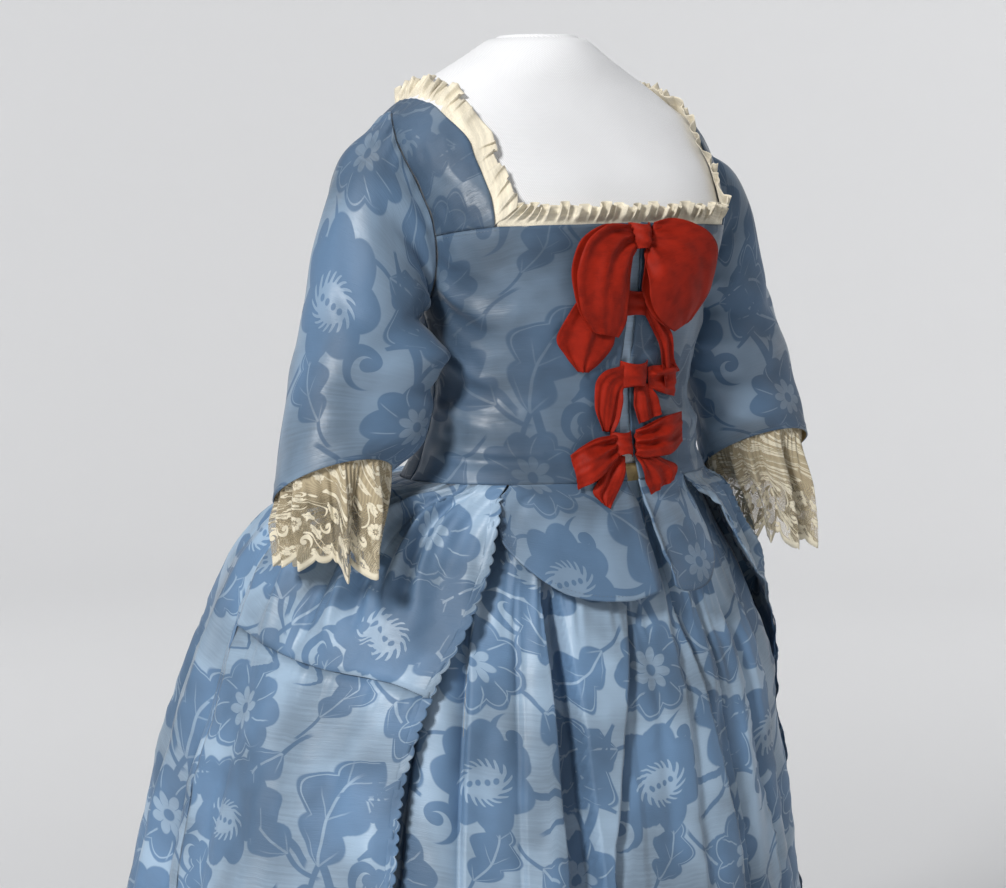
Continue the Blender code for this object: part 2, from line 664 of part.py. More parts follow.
def make_neck_ruffle(material):
    neck = trail(NECK_CURVE)
    rows = (0.0, 0.3, 1.0)
    waves = round(0.225 / RUFFLE_PITCH)
    for label, side in SIDES:
        def base(t, side=side):
            angle, height = neck(0.020 + 0.79 * t)
            return side * angle, height
        place = ruffle_place(base, 1.0, -0.6, side, waves)
        sheet("neck_ruffle_" + label, shares(waves * 3), rows, place, material,
              thickness=LACE, flip=side < 0)

    def front(t):
        reach = CORNER_ANGLE - 1.0
        return -reach + 2 * reach * t, NECK_FRONT - 0.001
    waves = round(0.28 / RUFFLE_PITCH)
    place = ruffle_place(front, 1.0, -1.0, 1, waves)
    sheet("neck_ruffle_front", shares(waves * 3), rows, place, material, thickness=LACE)

    def back(t):
        angle, height = neck(1.0 - 0.175 * abs(2.0 * t - 1.0))
        return (angle if t <= 0.5 else 360.0 - angle), height
    waves = round(0.20 / RUFFLE_PITCH)
    place = ruffle_place(back, 0.3, -0.3, 1, waves)
    sheet("neck_ruffle_back", shares(waves * 3), rows, place, material, thickness=LACE)


def fullness(height):
    """Share of the pleats' depth: none at the band, full from the thighs down."""
    return smooth_step(WAIST + 0.012, 0.84, height)


def petticoat_lift(angle, height):
    """How far the petticoat lies under the gown's form."""
    tucked = smooth_step(1.014, 1.034, height)
    under = 0.0110 * (1 - tucked) + 0.0034 * tucked
    covered = smooth_step(38.0, 62.0, -angle) if angle < 0 else smooth_step(52.0, 80.0, angle)
    low = smooth_step(0.90, 0.80, height)
    under += low * (0.006 * covered - 0.008 * (1 - covered))
    return -under - covered * 0.004 * smooth_step(1.0, 0.94, height)


def petticoat_point(angle, height):
    if angle > 180.0:
        angle -= 360.0
    if PETTICOAT_SIDES[0] <= angle <= PETTICOAT_SIDES[1]:
        wave = read_table(FRONT_PLEATS, angle)[0]
    else:
        start = PETTICOAT_SIDES[1] if angle > 0 else PETTICOAT_SIDES[0]
        wave = 0.003 * (1.0 - math.cos(2 * math.pi * (angle - start) / 15.0))
        wave += 0.006 * math.cos(math.pi * (angle - start) / 30.0) ** 2 * (angle > 0)
    return gown_point(angle, height, petticoat_lift(angle, height) - wave * fullness(height))


def mix(values, share):
    """Value between the entries of an evenly spaced list."""
    spot = min(max(share, 0.0), 1.0) * (len(values) - 1)
    low = min(int(spot), len(values) - 2)
    return values[low] + (values[low + 1] - values[low]) * (spot - low)


def seam_turn(height):
    """Half the gap at a skirt's seam, in degrees."""
    return math.degrees(0.5 * SKIRT_SEAM / read_table(GOWN_SECTIONS, height)[0])


def skirt_breadth(name, angles, levels, place, material, flip=False):
    """Wall of a skirt's breadth, with a column for each angle and a row for each level."""
    def spread(u, v):
        height = mix(levels, v)
        angle = mix(angles, u)
        share = (angle - angles[0]) / (angles[-1] - angles[0])
        return place(angle + seam_turn(height) * (1.0 - 2.0 * share), height)
    return sheet(name, shares(len(angles) - 1), shares(len(levels) - 1), spread, material,
                 flip=flip)


def spaced(start, end, count):
    return [start + (end - start) * i / count for i in range(count + 1)]


def make_petticoat(silk):
    angles = []
    for (a, _), (b, _) in zip(FRONT_PLEATS, FRONT_PLEATS[1:]):
        angles += [a, (a + b) / 2] if b - a > 4.6 else [a]
    angles.append(FRONT_PLEATS[-1][0])
    breadths = (
        ("petticoat_front", angles),
        ("petticoat_left", spaced(PETTICOAT_SIDES[1], 136.0, 8)),
        ("petticoat_back", spaced(136.0, 226.0, 12)),
        ("petticoat_right", spaced(226.0, 360.0 + PETTICOAT_SIDES[0], 10)),
    )
    for name, columns in breadths:
        skirt_breadth(name, columns, PETTICOAT_LEVELS, petticoat_point, silk)


def overskirt_wave(own_angle, height):
    """Pleats of the overskirt, flat near its front edge and full at the back."""
    rear = smooth_step(80.0, 125.0, own_angle)
    gathers = 0.006 * smooth_step(WAIST, 0.99, height) * smooth_step(0.86, 0.97, height)
    flutes = 0.003 + 0.011 * rear
    flutes *= smooth_step(1.0, 0.75, height) * (1.0 + 0.5 * smooth_step(0.6, 0.02, height))
    turn = (180.0 - own_angle) / 14.3
    return (gathers + flutes) * (0.5 + 0.5 * math.cos(2 * math.pi * turn))


def overskirt_point(side, own_angle, height):
    return gown_point(side * own_angle, height, overskirt_wave(own_angle, height))


def make_overskirt(silk):
    for label, side in SIDES:
        edge = RIGHT_SKIRT_EDGE if side < 0 else LEFT_SKIRT_EDGE

        def breadth(name, low, high, rows, side=side, edge=edge):
            """Front breadth between two lines, each giving a height for a share across."""
            def place(u, v):
                share = (mix(rows, v) - rows[0]) / (rows[-1] - rows[0])
                height = low(u) + (high(u) - low(u)) * share
                first = read_table(edge, height)[0]
                angle = first + (PIECING_ANGLE - seam_turn(height) - first) * u
                return overskirt_point(side, angle, height)
            sheet(name, shares(12), shares(len(rows) - 1), place, silk, flip=side < 0)

        split = SKIRT_LEVELS.index(PIECING_HEIGHT)
        if side < 0:
            seam = trail(PIECING_SEAM)
            breadth("overskirt_right_upper", lambda u: seam(u).y + SEAM * 0.5,
                    lambda u: SKIRT_TOP, SKIRT_LEVELS[split:])
            breadth("overskirt_right_lower", lambda u: HEM, lambda u: seam(u).y - SEAM * 0.5,
                    SKIRT_LEVELS[:split + 1])
        else:
            breadth("overskirt_left_front", lambda u: HEM, lambda u: SKIRT_TOP, SKIRT_LEVELS)

        def rear(angle, height, side=side):
            return overskirt_point(side, angle, height)
        angles = spaced(PIECING_ANGLE, 180.0, 22)
        skirt_breadth("overskirt_" + label + "_back", angles, SKIRT_LEVELS, rear, silk,
                      flip=side < 0)


def chest_point(x, height, lift):
    """Point over the bodice front at a distance x from the centre."""
    def face(x, height):
        half_width, front, _, middle, squareness = read_table(GOWN_SECTIONS, height)
        share = 1.0 - min(abs(x / half_width), 0.98) ** squareness
        return Vector((x, middle - (middle - front) * share ** (1.0 / squareness), height))
    along = face(x + 0.001, height) - face(x - 0.001, height)
    up = face(x, height + 0.001) - face(x, height - 0.001)
    return face(x, height) + along.cross(up).normalized() * lift


def loop_place(x0, z0, x1, z1, slim, wide, puff, lift):
    """Ribbon loop: out from the knot over the front, and back to it underneath."""
    away = Vector((x1 - x0, z1 - z0))
    across = Vector((-away.y, away.x)).normalized()

    def place(u, v):
        turn = math.pi * (0.22 + 1.56 * u)
        along = 0.5 - 0.5 * math.cos(turn)
        width = slim + (wide - slim) * math.sin(math.pi * min(along * 0.62, 0.5))
        spot = Vector((x0, z0)) + away * along + across * (v - 0.5) * width
        free = smooth_step(0.12, 0.45, along)
        swing = abs(math.sin(turn)) ** 0.6 * (0.55 + 0.45 * along)
        middle = swing + (1.0 - swing) * free
        height = RIBBON_SEAT + (lift - RIBBON_SEAT) * free
        height += puff * (0.30 + 0.20 * free) * (middle + math.copysign(swing, math.sin(turn)))
        if turn < math.pi:
            height += 0.0010 * math.cos(6.0 * math.pi * v) * math.sin(turn) * free
        return chest_point(spot.x, spot.y, height)
    return place


def make_bows(red):
    for name, *sizes in BOW_LOOPS:
        sheet(name, shares(12), shares(3), loop_place(*sizes), red, thickness=RIBBON)

    for name, rows in BOW_TAILS:
        def tail(u, v, rows=rows):
            columns = [[Vector((row[k], 0.0)) for row in rows] for k in range(5)]
            spot = min(max(u, 0.0), 1.0) * (len(rows) - 1)
            x, z, width, lift, turn = [spline(column, spot).x for column in columns]
            offset = (v - 0.5) * width
            slant = math.radians(turn)
            wave = 0.0005 * math.sin(2.5 * math.pi * v + 2.0 * u)
            return chest_point(x + offset * math.cos(slant), z + offset * math.sin(slant),
                               lift + wave)
        sheet(name, shares(5), shares(2), tail, red, thickness=RIBBON)

    for name, x, z, half_width, half_height, lift in BOW_KNOTS:
        def knot(u, v):
            swell = math.sin(math.pi * u) ** 0.7 * (0.72 + 0.28 * math.sin(math.pi * v))
            return chest_point(x + half_width * (2 * u - 1), z + half_height * (2 * v - 1),
                               KNOT_SEAT + (lift - KNOT_SEAT) * swell)
        sheet(name, shares(5), shares(2), knot, red, thickness=RIBBON)


def lathe(name, profile, centre, material, segments):
    """Solid turned from rows of (radius, height), closed at both ends."""
    data = bmesh.new()
    rings = []
    for radius, height in profile:
        ring = []
        for i in range(segments):
            turn = 2 * math.pi * i / segments
            ring.append(data.verts.new((centre[0] + radius * math.cos(turn),
                                        centre[1] + radius * math.sin(turn), height)))
        rings.append(ring)
    close_rings(data, rings)
    return solid_object(name, data, material)


def close_rings(data, rings):
    for low, high in zip(rings, rings[1:]):
        for i in range(len(low)):
            j = (i + 1) % len(low)
            data.faces.new((low[i], low[j], high[j], high[i]))
    data.faces.new(rings[0][::-1])
    data.faces.new(rings[-1])


def solid_object(name, data, material):
    mesh = bpy.data.meshes.new(name)
    data.to_mesh(mesh)
    data.free()
    mesh.materials.append(material)
    mesh.shade_smooth()
    mesh.set_sharp_from_angle(angle=math.radians(40))
    item = bpy.data.objects.new(name, mesh)
    bpy.context.scene.collection.objects.link(item)
    return item


def make_form(knit, steel):
    """Limbless padded torso with its neck stump, on a pole, collar and round base."""
    data = bmesh.new()
    rings = []
    for height in FORM_LEVELS:
        ring = []
        for i in range(FORM_COLUMNS):
            angle = 360.0 * i / FORM_COLUMNS - 180.0
            if height < WAIST:
                point = ring_point(HIP_SECTIONS, angle, height)
            else:
                inset = BAND_INSET if height <= BAND_TOP else FORM_INSET
                point = gown_point(angle, height, -inset)
            ring.append(data.verts.new(point))
        rings.append(ring)
    close_rings(data, rings)
    solid_object("form_torso", data, knit)

    centre = (0.0, STAND_Y)
    under = FORM_LEVELS[0] - SEAM
    lathe("stand_collar", ((COLLAR_RADIUS, under - COLLAR_HEIGHT), (COLLAR_RADIUS, under)),
          centre, steel, 16)
    lathe("stand_pole", ((POLE_RADIUS, BASE_HEIGHT + SEAM),
                         (POLE_RADIUS, under - COLLAR_HEIGHT - SEAM)), centre, steel, 16)
    lathe("stand_base", ((BASE_RADIUS, 0.0), (BASE_RADIUS, BASE_HEIGHT - 0.003),
                         (BASE_RADIUS - 0.003, BASE_HEIGHT)), centre, steel, 36)


def main():
    clear_scene()
    materials = {name: make_material(name) for name in MATERIALS}
    make_form(materials["knit"], materials["steel"])
    make_bodice(materials["damask"], materials["pale_silk"])
    make_sleeves(materials["damask"], materials["lace"])
    make_neck_ruffle(materials["ruffle"])
    make_petticoat(materials["damask"])
    make_overskirt(materials["damask"])
    make_bows(materials["red_silk"])


if __name__ == "__main__":
    main()
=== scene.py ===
"""Silk damask robe a l'anglaise with its petticoat, worn by a limbless dress form on a stand.

Every piece is laid on the same form as the solids, in metres. Angle 0 is the centre front, +90
the wearer's left and 180 the centre back; cloth carries a UV map in metres of its own weave.
"""
import math

import bmesh
import bpy
import numpy as np
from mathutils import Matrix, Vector


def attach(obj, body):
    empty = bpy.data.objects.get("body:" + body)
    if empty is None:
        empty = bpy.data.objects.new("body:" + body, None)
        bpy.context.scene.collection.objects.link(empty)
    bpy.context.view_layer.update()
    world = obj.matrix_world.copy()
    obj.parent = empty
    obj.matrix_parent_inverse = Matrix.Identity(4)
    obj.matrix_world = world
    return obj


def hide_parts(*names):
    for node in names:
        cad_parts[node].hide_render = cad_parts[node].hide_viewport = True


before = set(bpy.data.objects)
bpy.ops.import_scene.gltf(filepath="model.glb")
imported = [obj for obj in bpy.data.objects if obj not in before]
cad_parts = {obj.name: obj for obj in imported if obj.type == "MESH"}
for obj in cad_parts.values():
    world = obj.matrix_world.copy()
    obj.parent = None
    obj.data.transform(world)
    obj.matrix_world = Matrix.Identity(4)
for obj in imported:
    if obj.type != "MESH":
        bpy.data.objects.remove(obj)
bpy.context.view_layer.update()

bl_info = {
    "name": "Damask gown",
    "version": (1, 0, 0),
    "blender": (4, 5, 0),
    "location": "View3D > Sidebar > Gown",
    "description": "Builds a silk damask gown on a dress form",
    "category": "Object",
}

# Walls and heights of the solids
SILK = 0.0015
FORM_INSET = 0.0048
BAND_INSET = 0.0058
KNOT_SEAT = 0.001
RIBBON_LOW = 0.0004
HEM = 0.018
WAIST = 1.02
NECK_FRONT = 1.268
BAND_BOTTOM = 1.0145
BAND_TOP = 1.036
SKIRT_TOP = WAIST - 0.0003
PINKING_TOP = 1.008

# Seams: angles in degrees
CORNER_ANGLE = 48.0
SIDE_ANGLE = 97.0
BACK_SEAM_WAIST = 158.0
PIECING_ANGLE = 94.0

# Angles left free beside a seam
SEAM_ANGLE = 0.1
SKIRT_SEAM_ANGLE = 0.08

# Length of one degree round the bodice, near enough to space the points of a path
DEGREE_LENGTH = 0.0028

# Length along the skirt's slant for each metre of height
SKIRT_SLANT = 1.06

# The armhole is an ellipse in (angle, height); its turn runs top, front, bottom, back
ARMHOLE_ANGLE = 98.0
ARMHOLE_HEIGHT = 1.281
ARMHOLE_REACH = 25.0
ARMHOLE_RISE = 0.093
STRAP_TURN = 106.3
BACK_SEAM_TURN = 285.0
BACK_STRAP_TURN = 310.0

# height, half width, front, back, middle, squareness of the front half
GOWN_SECTIONS = (
    (0.018, 0.466, -0.283, 0.585, 0.15, 2.0),
    (0.3, 0.411, -0.24, 0.517, 0.14, 2.0),
    (0.58, 0.355, -0.197, 0.452, 0.128, 2.0),
    (0.72, 0.33, -0.175, 0.412, 0.121, 2.0),
    (0.84, 0.305, -0.158, 0.365, 0.103, 2.0),
    (0.92, 0.274, -0.136, 0.34, 0.102, 2.0),
    (0.96, 0.244, -0.121, 0.31, 0.094, 2.0),
    (0.985, 0.222, -0.115, 0.262, 0.078, 2.0),
    (1.005, 0.196, -0.112, 0.195, 0.048, 2.0),
    (1.02, 0.168, -0.112, 0.12, 0.004, 2.1),
    (1.06, 0.152, -0.105, 0.108, 0.0, 2.2),
    (1.11, 0.142, -0.103, 0.104, 0.0, 2.3),
    (1.16, 0.147, -0.11, 0.108, 0.003, 2.5),
    (1.21, 0.158, -0.117, 0.114, 0.008, 2.8),
    (1.265, 0.172, -0.12, 0.12, 0.012, 3.0),
    (1.3, 0.181, -0.106, 0.125, 0.02, 2.9),
    (1.34, 0.188, -0.08, 0.124, 0.028, 2.6),
    (1.365, 0.18, -0.065, 0.12, 0.032, 2.4),
    (1.385, 0.156, -0.054, 0.118, 0.034, 2.2),
    (1.402, 0.131, -0.045, 0.113, 0.035, 2.1),
    (1.415, 0.108, -0.04, 0.108, 0.035, 2.0),
    (1.43, 0.08, -0.033, 0.1, 0.035, 2.0),
    (1.445, 0.056, -0.022, 0.086, 0.034, 2.0),
    (1.455, 0.036, -0.01, 0.076, 0.033, 2.0),
)

# The dress form below the waist: height, half width, front, back, middle, squareness
HIP_SECTIONS = (
    (0.82, 0.11, -0.058, 0.075, 0.004, 2.0),
    (0.84, 0.14, -0.078, 0.098, 0.004, 2.0),
    (0.9, 0.146, -0.082, 0.105, 0.004, 2.0),
    (0.96, 0.148, -0.086, 0.105, 0.003, 2.0),
    (1.0, 0.149, -0.092, 0.103, 0.002, 2.0),
)

# Centre-front edges of the two fronts: height, angle towards the piece's own side
RIGHT_EDGE = ((0.908, -2.5), (0.956, -3.6), (0.994, -3.0), (1.02, 0.6), (1.06, 2.2),
              (1.18, 1.6), (1.268, 1.2))
LEFT_EDGE = ((0.908, 6.6), (0.956, 7.4), (0.994, 6.2), (1.02, 4.6), (1.06, 3.4),
             (1.18, 2.8), (1.268, 2.4))

# Outlines of the rounded tabs, from the centre front to the waist: own-side angle, height
RIGHT_TAB = ((-2.5, 0.911), (5.0, 0.906), (11.0, 0.908), (17.8, 0.915), (23.5, 0.929),
             (28.4, 0.945), (33.5, 0.966), (36.7, 0.986), (44.8, 1.02))
LEFT_TAB = ((6.6, 0.915), (9.5, 0.909), (12.8, 0.908), (17.0, 0.912), (21.0, 0.924),
            (24.5, 0.942), (26.5, 0.966), (27.0, 0.99), (28.0, 1.02))

# Neckline over the shoulder, from the front corner to the centre back: angle, height
NECK_CURVE = ((48.0, 1.264), (45.5, 1.3), (45.5, 1.34), (56.0, 1.369), (70.0, 1.3815),
              (90.0, 1.3865), (108.0, 1.3835), (122.0, 1.376), (137.0, 1.365), (153.0, 1.354),
              (168.0, 1.348), (180.0, 1.346))
STRAP_END = 125.0

# Pinked front edges of the overskirt: height, own-side angle
RIGHT_SKIRT_EDGE = ((0.018, 51.0), (0.3, 50.0), (0.62, 49.0), (0.73, 48.5), (0.79, 46.8),
                    (0.836, 44.2), (0.894, 38.6), (0.946, 35.8), (0.986, 37.5), (1.02, 45.6))
LEFT_SKIRT_EDGE = ((0.018, 70.0), (0.3, 69.5), (0.58, 68.0), (0.72, 66.0), (0.83, 62.0),
                   (0.877, 56.5), (0.918, 47.0), (0.96, 40.5), (0.99, 35.0), (1.02, 28.8))

# Seam of the pieced front breadth: own-side angle, height
PIECING_SEAM = ((44.6, 0.827), (52.5, 0.84), (70.0, 0.85), (94.0, 0.874))

# Pleats of the petticoat front, from the wearer's right: angle, depth
FRONT_PLEATS = ((-58.0, 0.0), (-55.0, 0.0006), (-50.0, 0.006), (-42.0, 0.0), (-35.0, 0.007),
                (-28.5, 0.001), (-24.0, 0.0), (-18.5, 0.006), (-15.0, 0.001), (-10.0, 0.0),
                (-6.0, 0.001), (-4.2, 0.004), (1.0, 0.002), (6.5, 0.0), (8.6, 0.004),
                (13.0, 0.001), (16.0, 0.0), (18.6, 0.005), (25.0, 0.001), (30.0, 0.007),
                (37.0, 0.0), (44.0, 0.008), (52.0, 0.001), (60.0, 0.008), (67.0, 0.001),
                (76.0, 0.006))

# Sleeve rings: centre x, y, z, half width, half depth, tilt in degrees, height of the front
SLEEVE_RINGS = (
    (0.203, 0.022, 1.248, 0.081, 0.056, 60.0, 0.0),
    (0.222, 0.014, 1.18, 0.0616, 0.056, 29.0, 0.0),
    (0.246, 0.005, 1.105, 0.06, 0.054, 14.0, 0.004),
    (0.268, 0.0, 1.023, 0.058, 0.052, 0.0, 0.028),
)
LACE_BOTTOM = 0.949
LACE_FLARE = -0.002
LACE_WAVES = 11
LACE_WAVE_DEPTH = 0.008
LACE_SWAY = 0.044
LACE_CLEAR = 0.012

# Bows: rows of share from the knot, both edges of the ribbon as x and z, and lift off the front
BOW_RIBBONS = {
    "bow_1_loop_right": (
        (0.0, -0.0001, 1.2652, -0.0009, 1.2455, 0.008),
        (0.2, -0.0392, 1.2667, -0.01, 1.2338, 0.014),
        (0.4, -0.0692, 1.251, -0.0178, 1.2135, 0.018),
        (0.6, -0.0762, 1.2248, -0.0191, 1.1946, 0.019),
        (0.8, -0.0661, 1.1893, -0.0158, 1.176, 0.016),
        (1.0, -0.0459, 1.1651, -0.0176, 1.1593, 0.01)),
    "bow_1_loop_left": (
        (0.0, 0.0098, 1.266, 0.0065, 1.2455, 0.008),
        (0.2, 0.0338, 1.2696, 0.0064, 1.226, 0.014),
        (0.4, 0.0655, 1.2642, 0.0056, 1.2074, 0.018),
        (0.6, 0.0903, 1.2431, 0.0112, 1.192, 0.019),
        (0.8, 0.0943, 1.207, 0.028, 1.1748, 0.016),
        (1.0, 0.0788, 1.1742, 0.0537, 1.1629, 0.01)),
    "bow_1_tail": (
        (0.0, -0.0564, 1.209, -0.0171, 1.2025, 0.004),
        (0.25, -0.0705, 1.185, -0.0174, 1.1777, 0.005),
        (0.5, -0.0805, 1.1603, -0.0189, 1.1548, 0.006),
        (0.75, -0.0699, 1.143, -0.031, 1.1359, 0.006),
        (1.0, -0.0548, 1.1266, -0.0433, 1.1252, 0.005)),
    "bow_2_tail": (
        (0.0, 0.0167, 1.1787, 0.0166, 1.2009, 0.005),
        (0.25, 0.0294, 1.1629, 0.0368, 1.1755, 0.006),
        (0.5, 0.039, 1.1453, 0.0531, 1.1603, 0.007),
        (0.75, 0.0466, 1.1228, 0.0606, 1.1364, 0.007),
        (1.0, 0.0526, 1.1038, 0.0739, 1.123, 0.005)),
    "bow_3_tail_right": (
        (0.0, -0.0014, 1.1318, -0.001, 1.1104, 0.006),
        (0.25, -0.0252, 1.1274, -0.0069, 1.103, 0.009),
        (0.5, -0.0368, 1.1135, -0.0079, 1.0913, 0.01),
        (0.75, -0.0383, 1.0926, -0.0099, 1.0797, 0.009),
        (1.0, -0.0293, 1.068, -0.0169, 1.0664, 0.005)),
    "bow_3_tail_left": (
        (0.0, 0.0109, 1.1098, 0.0301, 1.112, 0.005),
        (0.5, 0.0102, 1.0913, 0.0415, 1.0926, 0.007),
        (1.0, 0.0153, 1.0725, 0.0464, 1.0804, 0.006)),
    "bow_3_loop_left": (
        (0.0, 0.0266, 1.1287, 0.0292, 1.108, 0.006),
        (0.5, 0.0419, 1.1294, 0.0463, 1.1013, 0.008),
        (1.0, 0.0706, 1.1326, 0.0686, 1.0968, 0.006)),
    "bow_4_loop_right": (
        (0.0, -0.0095, 1.0642, -0.0107, 1.0431, 0.006),
        (0.33, -0.0309, 1.0624, -0.026, 1.0317, 0.009),
        (0.67, -0.0506, 1.0548, -0.0456, 1.021, 0.01),
        (1.0, -0.0647, 1.0458, -0.0595, 1.0144, 0.006)),
    "bow_4_loop_left": (
        (0.0, 0.0063, 1.0662, 0.005, 1.0432, 0.006),
        (0.33, 0.028, 1.0718, 0.0216, 1.0389, 0.009),
        (0.67, 0.0519, 1.0781, 0.0447, 1.0391, 0.01),
        (1.0, 0.08, 1.0809, 0.0786, 1.0509, 0.006)),
    "bow_4_tail_right": (
        (0.0, -0.0172, 1.0448, -0.0035, 1.0421, 0.004),
        (0.33, -0.0341, 1.0262, -0.0069, 1.0257, 0.005),
        (0.67, -0.0426, 1.0113, -0.0141, 1.0075, 0.005),
        (1.0, -0.0337, 0.9994, -0.0246, 0.9929, 0.004)),
    "bow_4_tail_left": (
        (0.0, 0.009, 1.0433, 0.0272, 1.0441, 0.004),
        (0.33, 0.0132, 1.0299, 0.0467, 1.0369, 0.005),
        (0.67, 0.0201, 1.0149, 0.0678, 1.0279, 0.005),
        (1.0, 0.0291, 1.0032, 0.0636, 1.0175, 0.004)),
}
# Knots: name, x, z, half width, half height, lift of the middle
BOW_KNOTS = (
    ("bow_1_knot", 0.003, 1.2551, 0.0125, 0.0128, 0.017),
    ("bow_2_knot", 0.0027, 1.1915, 0.016, 0.0132, 0.0088),
    ("bow_3_knot", 0.0109, 1.1215, 0.0172, 0.0138, 0.011),
    ("bow_4_knot", -0.0054, 1.0542, 0.0125, 0.013, 0.012),
)

# The wearer's sides: label, sign of x
SIDES = (("right", -1), ("left", 1))


class Table:
    """Smooth curves through a table's rows, with no overshoot, by the key in its first column."""

    def __init__(self, rows, samples=1200):
        rows = np.array(rows, float)
        knots, values = rows[:, 0], rows[:, 1:]
        span = np.diff(knots)[:, None]
        rise = np.diff(values, axis=0) / span
        before, after = np.concatenate([rise[:1], rise]), np.concatenate([rise, rise[-1:]])
        same_way = before * after > 0.0
        slope = np.where(same_way, 2.0 * before * after / np.where(same_way, before + after, 1.0),
                         0.0)
        self.keys = np.linspace(knots[0], knots[-1], samples)
        low = np.clip(np.searchsorted(knots, self.keys, side="right") - 1, 0, len(span) - 1)
        t = (self.keys - knots[low])[:, None] / span[low]
        self.columns = ((2 * t**3 - 3 * t**2 + 1) * values[low]
                        + (t**3 - 2 * t**2 + t) * slope[low] * span[low]
                        + (3 * t**2 - 2 * t**3) * values[low + 1]
                        + (t**3 - t**2) * slope[low + 1] * span[low]).T

    def __call__(self, key):
        return [np.interp(key, self.keys, column) for column in self.columns]


def steps(low, high, value):
    """Smooth step from 0 at low to 1 at high; low may be the larger."""
    t = np.clip((np.asarray(value, float) - low) / (high - low), 0.0, 1.0)
    return t * t * (3.0 - 2.0 * t)


GOWN = Table(GOWN_SECTIONS, 3000)
HIPS = Table(HIP_SECTIONS)


def ring_points(table, angle, height):
    """Points of a section table's surface at angles in degrees and heights."""
    half_width, front, back, middle, squareness = table(height)
    across = np.sin(np.radians(angle))
    ahead = np.cos(np.radians(angle))
    power = np.where(ahead < 0.0, 2.1, squareness)
    radius = (np.abs(across) ** power + np.abs(ahead) ** power) ** (-1.0 / power)
    depth = np.where(ahead > 0.0, middle - front, back - middle)
    return np.stack([half_width * across * radius, middle - depth * ahead * radius,
                     height + 0.0 * radius], axis=-1)


def unit(vectors):
    """The vectors at length 1."""
    return vectors / np.maximum(np.linalg.norm(vectors, axis=-1, keepdims=True), 1e-12)


def gown_points(angle, height, lift=0.0):
    """Points on the gown's form, moved outwards by the lift."""
    angle, height, lift = np.broadcast_arrays(*[np.asarray(x, float)
                                                for x in (angle, height, lift)])
    point = ring_points(GOWN, angle, height)
    along = ring_points(GOWN, angle + 0.5, height) - ring_points(GOWN, angle - 0.5, height)
    up = ring_points(GOWN, angle, height + 0.002) - ring_points(GOWN, angle, height - 0.002)
    return point + unit(np.cross(along, up)) * lift[..., None]


def trail(rows):
    """Smooth path through rows of (angle, height), run from 0 to 1 by its length."""
    marks = [0.0]
    for a, b in zip(rows, rows[1:]):
        marks.append(marks[-1] + math.hypot((b[0] - a[0]) * DEGREE_LENGTH, b[1] - a[1]))
    table = Table([(mark / marks[-1], *row) for mark, row in zip(marks, rows)])
    return lambda t: np.stack(table(t), axis=-1)


def straight(start, end):
    """Straight path between two points (angle, height)."""
    start = np.asarray(start, float)
    end = np.asarray(end, float)
    return lambda t: start + (end - start) * np.asarray(t, float)[..., None]


def part_of(path, start, end):
    """The stretch of a path between two shares of it."""
    return lambda t: path(start + (end - start) * np.asarray(t, float))


def joined(first, second, share):
    """Two paths end to end, the first over the given share."""
    def path(t):
        t = np.asarray(t, float)
        early = first(np.clip(t / share, 0.0, 1.0))
        late = second(np.clip((t - share) / (1.0 - share), 0.0, 1.0))
        return np.where((t <= share)[..., None], early, late)
    return path


def patch(left, right, bottom, top):
    """Coons patch between four paths: the angles and heights at shares across and along."""
    def place(u, v):
        w = v[..., None]
        s = u[..., None]
        corners = ((bottom(0.0) * (1 - s) + bottom(1.0) * s) * (1 - w)
                   + (top(0.0) * (1 - s) + top(1.0) * s) * w)
        spots = left(v) * (1 - s) + right(v) * s + bottom(u) * (1 - w) + top(u) * w - corners
        return spots[..., 0], spots[..., 1]
    return place


def armhole(turn):
    """Points (angle, height) of the armhole at turns in degrees from its top."""
    turn = np.radians(turn)
    return np.stack([ARMHOLE_ANGLE - ARMHOLE_REACH * np.sin(turn),
                     ARMHOLE_HEIGHT + ARMHOLE_RISE * np.cos(turn)], axis=-1)


def armhole_arc(start, end):
    """Path along the armhole between two turns."""
    return lambda t: armhole(start + (end - start) * np.asarray(t, float))


def sways(x, y, scale, seed):
    """Soft random hills between about -1 and 1 over the plane, of the given size in metres."""
    dice = np.random.RandomState(seed)
    total = 0.0
    for _ in range(9):
        turn = dice.uniform(0.0, math.pi)
        pace = math.tau / (scale * dice.uniform(0.6, 1.7))
        phase = dice.uniform(0.0, 6.28)
        total = total + np.sin((x * math.cos(turn) + y * math.sin(turn)) * pace + phase)
    return total / 4.5


def creases(x, y, rows):
    """Lift of soft ridges and troughs, each from one point to another of the cloth's plane.

    Rows hold start x, start y, end x, end y, bow, width and depth, in metres.
    """
    total = np.zeros(np.broadcast(x, y).shape)
    for x0, y0, x1, y1, bow, width, depth in rows:
        length = math.hypot(x1 - x0, y1 - y0)
        along = ((x - x0) * (x1 - x0) + (y - y0) * (y1 - y0)) / length**2
        aside = ((y - y0) * (x1 - x0) - (x - x0) * (y1 - y0)) / length
        aside = aside - bow * 4.0 * along * (1.0 - along)
        taper = steps(-0.15, 0.25, along) * steps(1.15, 0.7, along)
        spread = width * (0.7 + 0.6 * np.clip(along, 0.0, 1.0))
        total += depth * taper * np.exp(-(aside / spread) ** 2)
    return total


def unroll(points, column=0.5, row=0.5):
    """Lengths across and up the cloth, in metres, from a column and a row given as shares."""
    across = np.linalg.norm(np.diff(points, axis=0), axis=-1)
    across = np.concatenate([np.zeros((1, points.shape[1])), np.cumsum(across, axis=0)])
    across -= across[int(column * (points.shape[0] - 1))]
    up = np.linalg.norm(np.diff(points, axis=1), axis=-1)
    up = np.concatenate([np.zeros((points.shape[0], 1)), np.cumsum(up, axis=1)], axis=1)
    up -= up[:, [int(row * (points.shape[1] - 1))]]
    return np.stack([across, up], axis=-1)


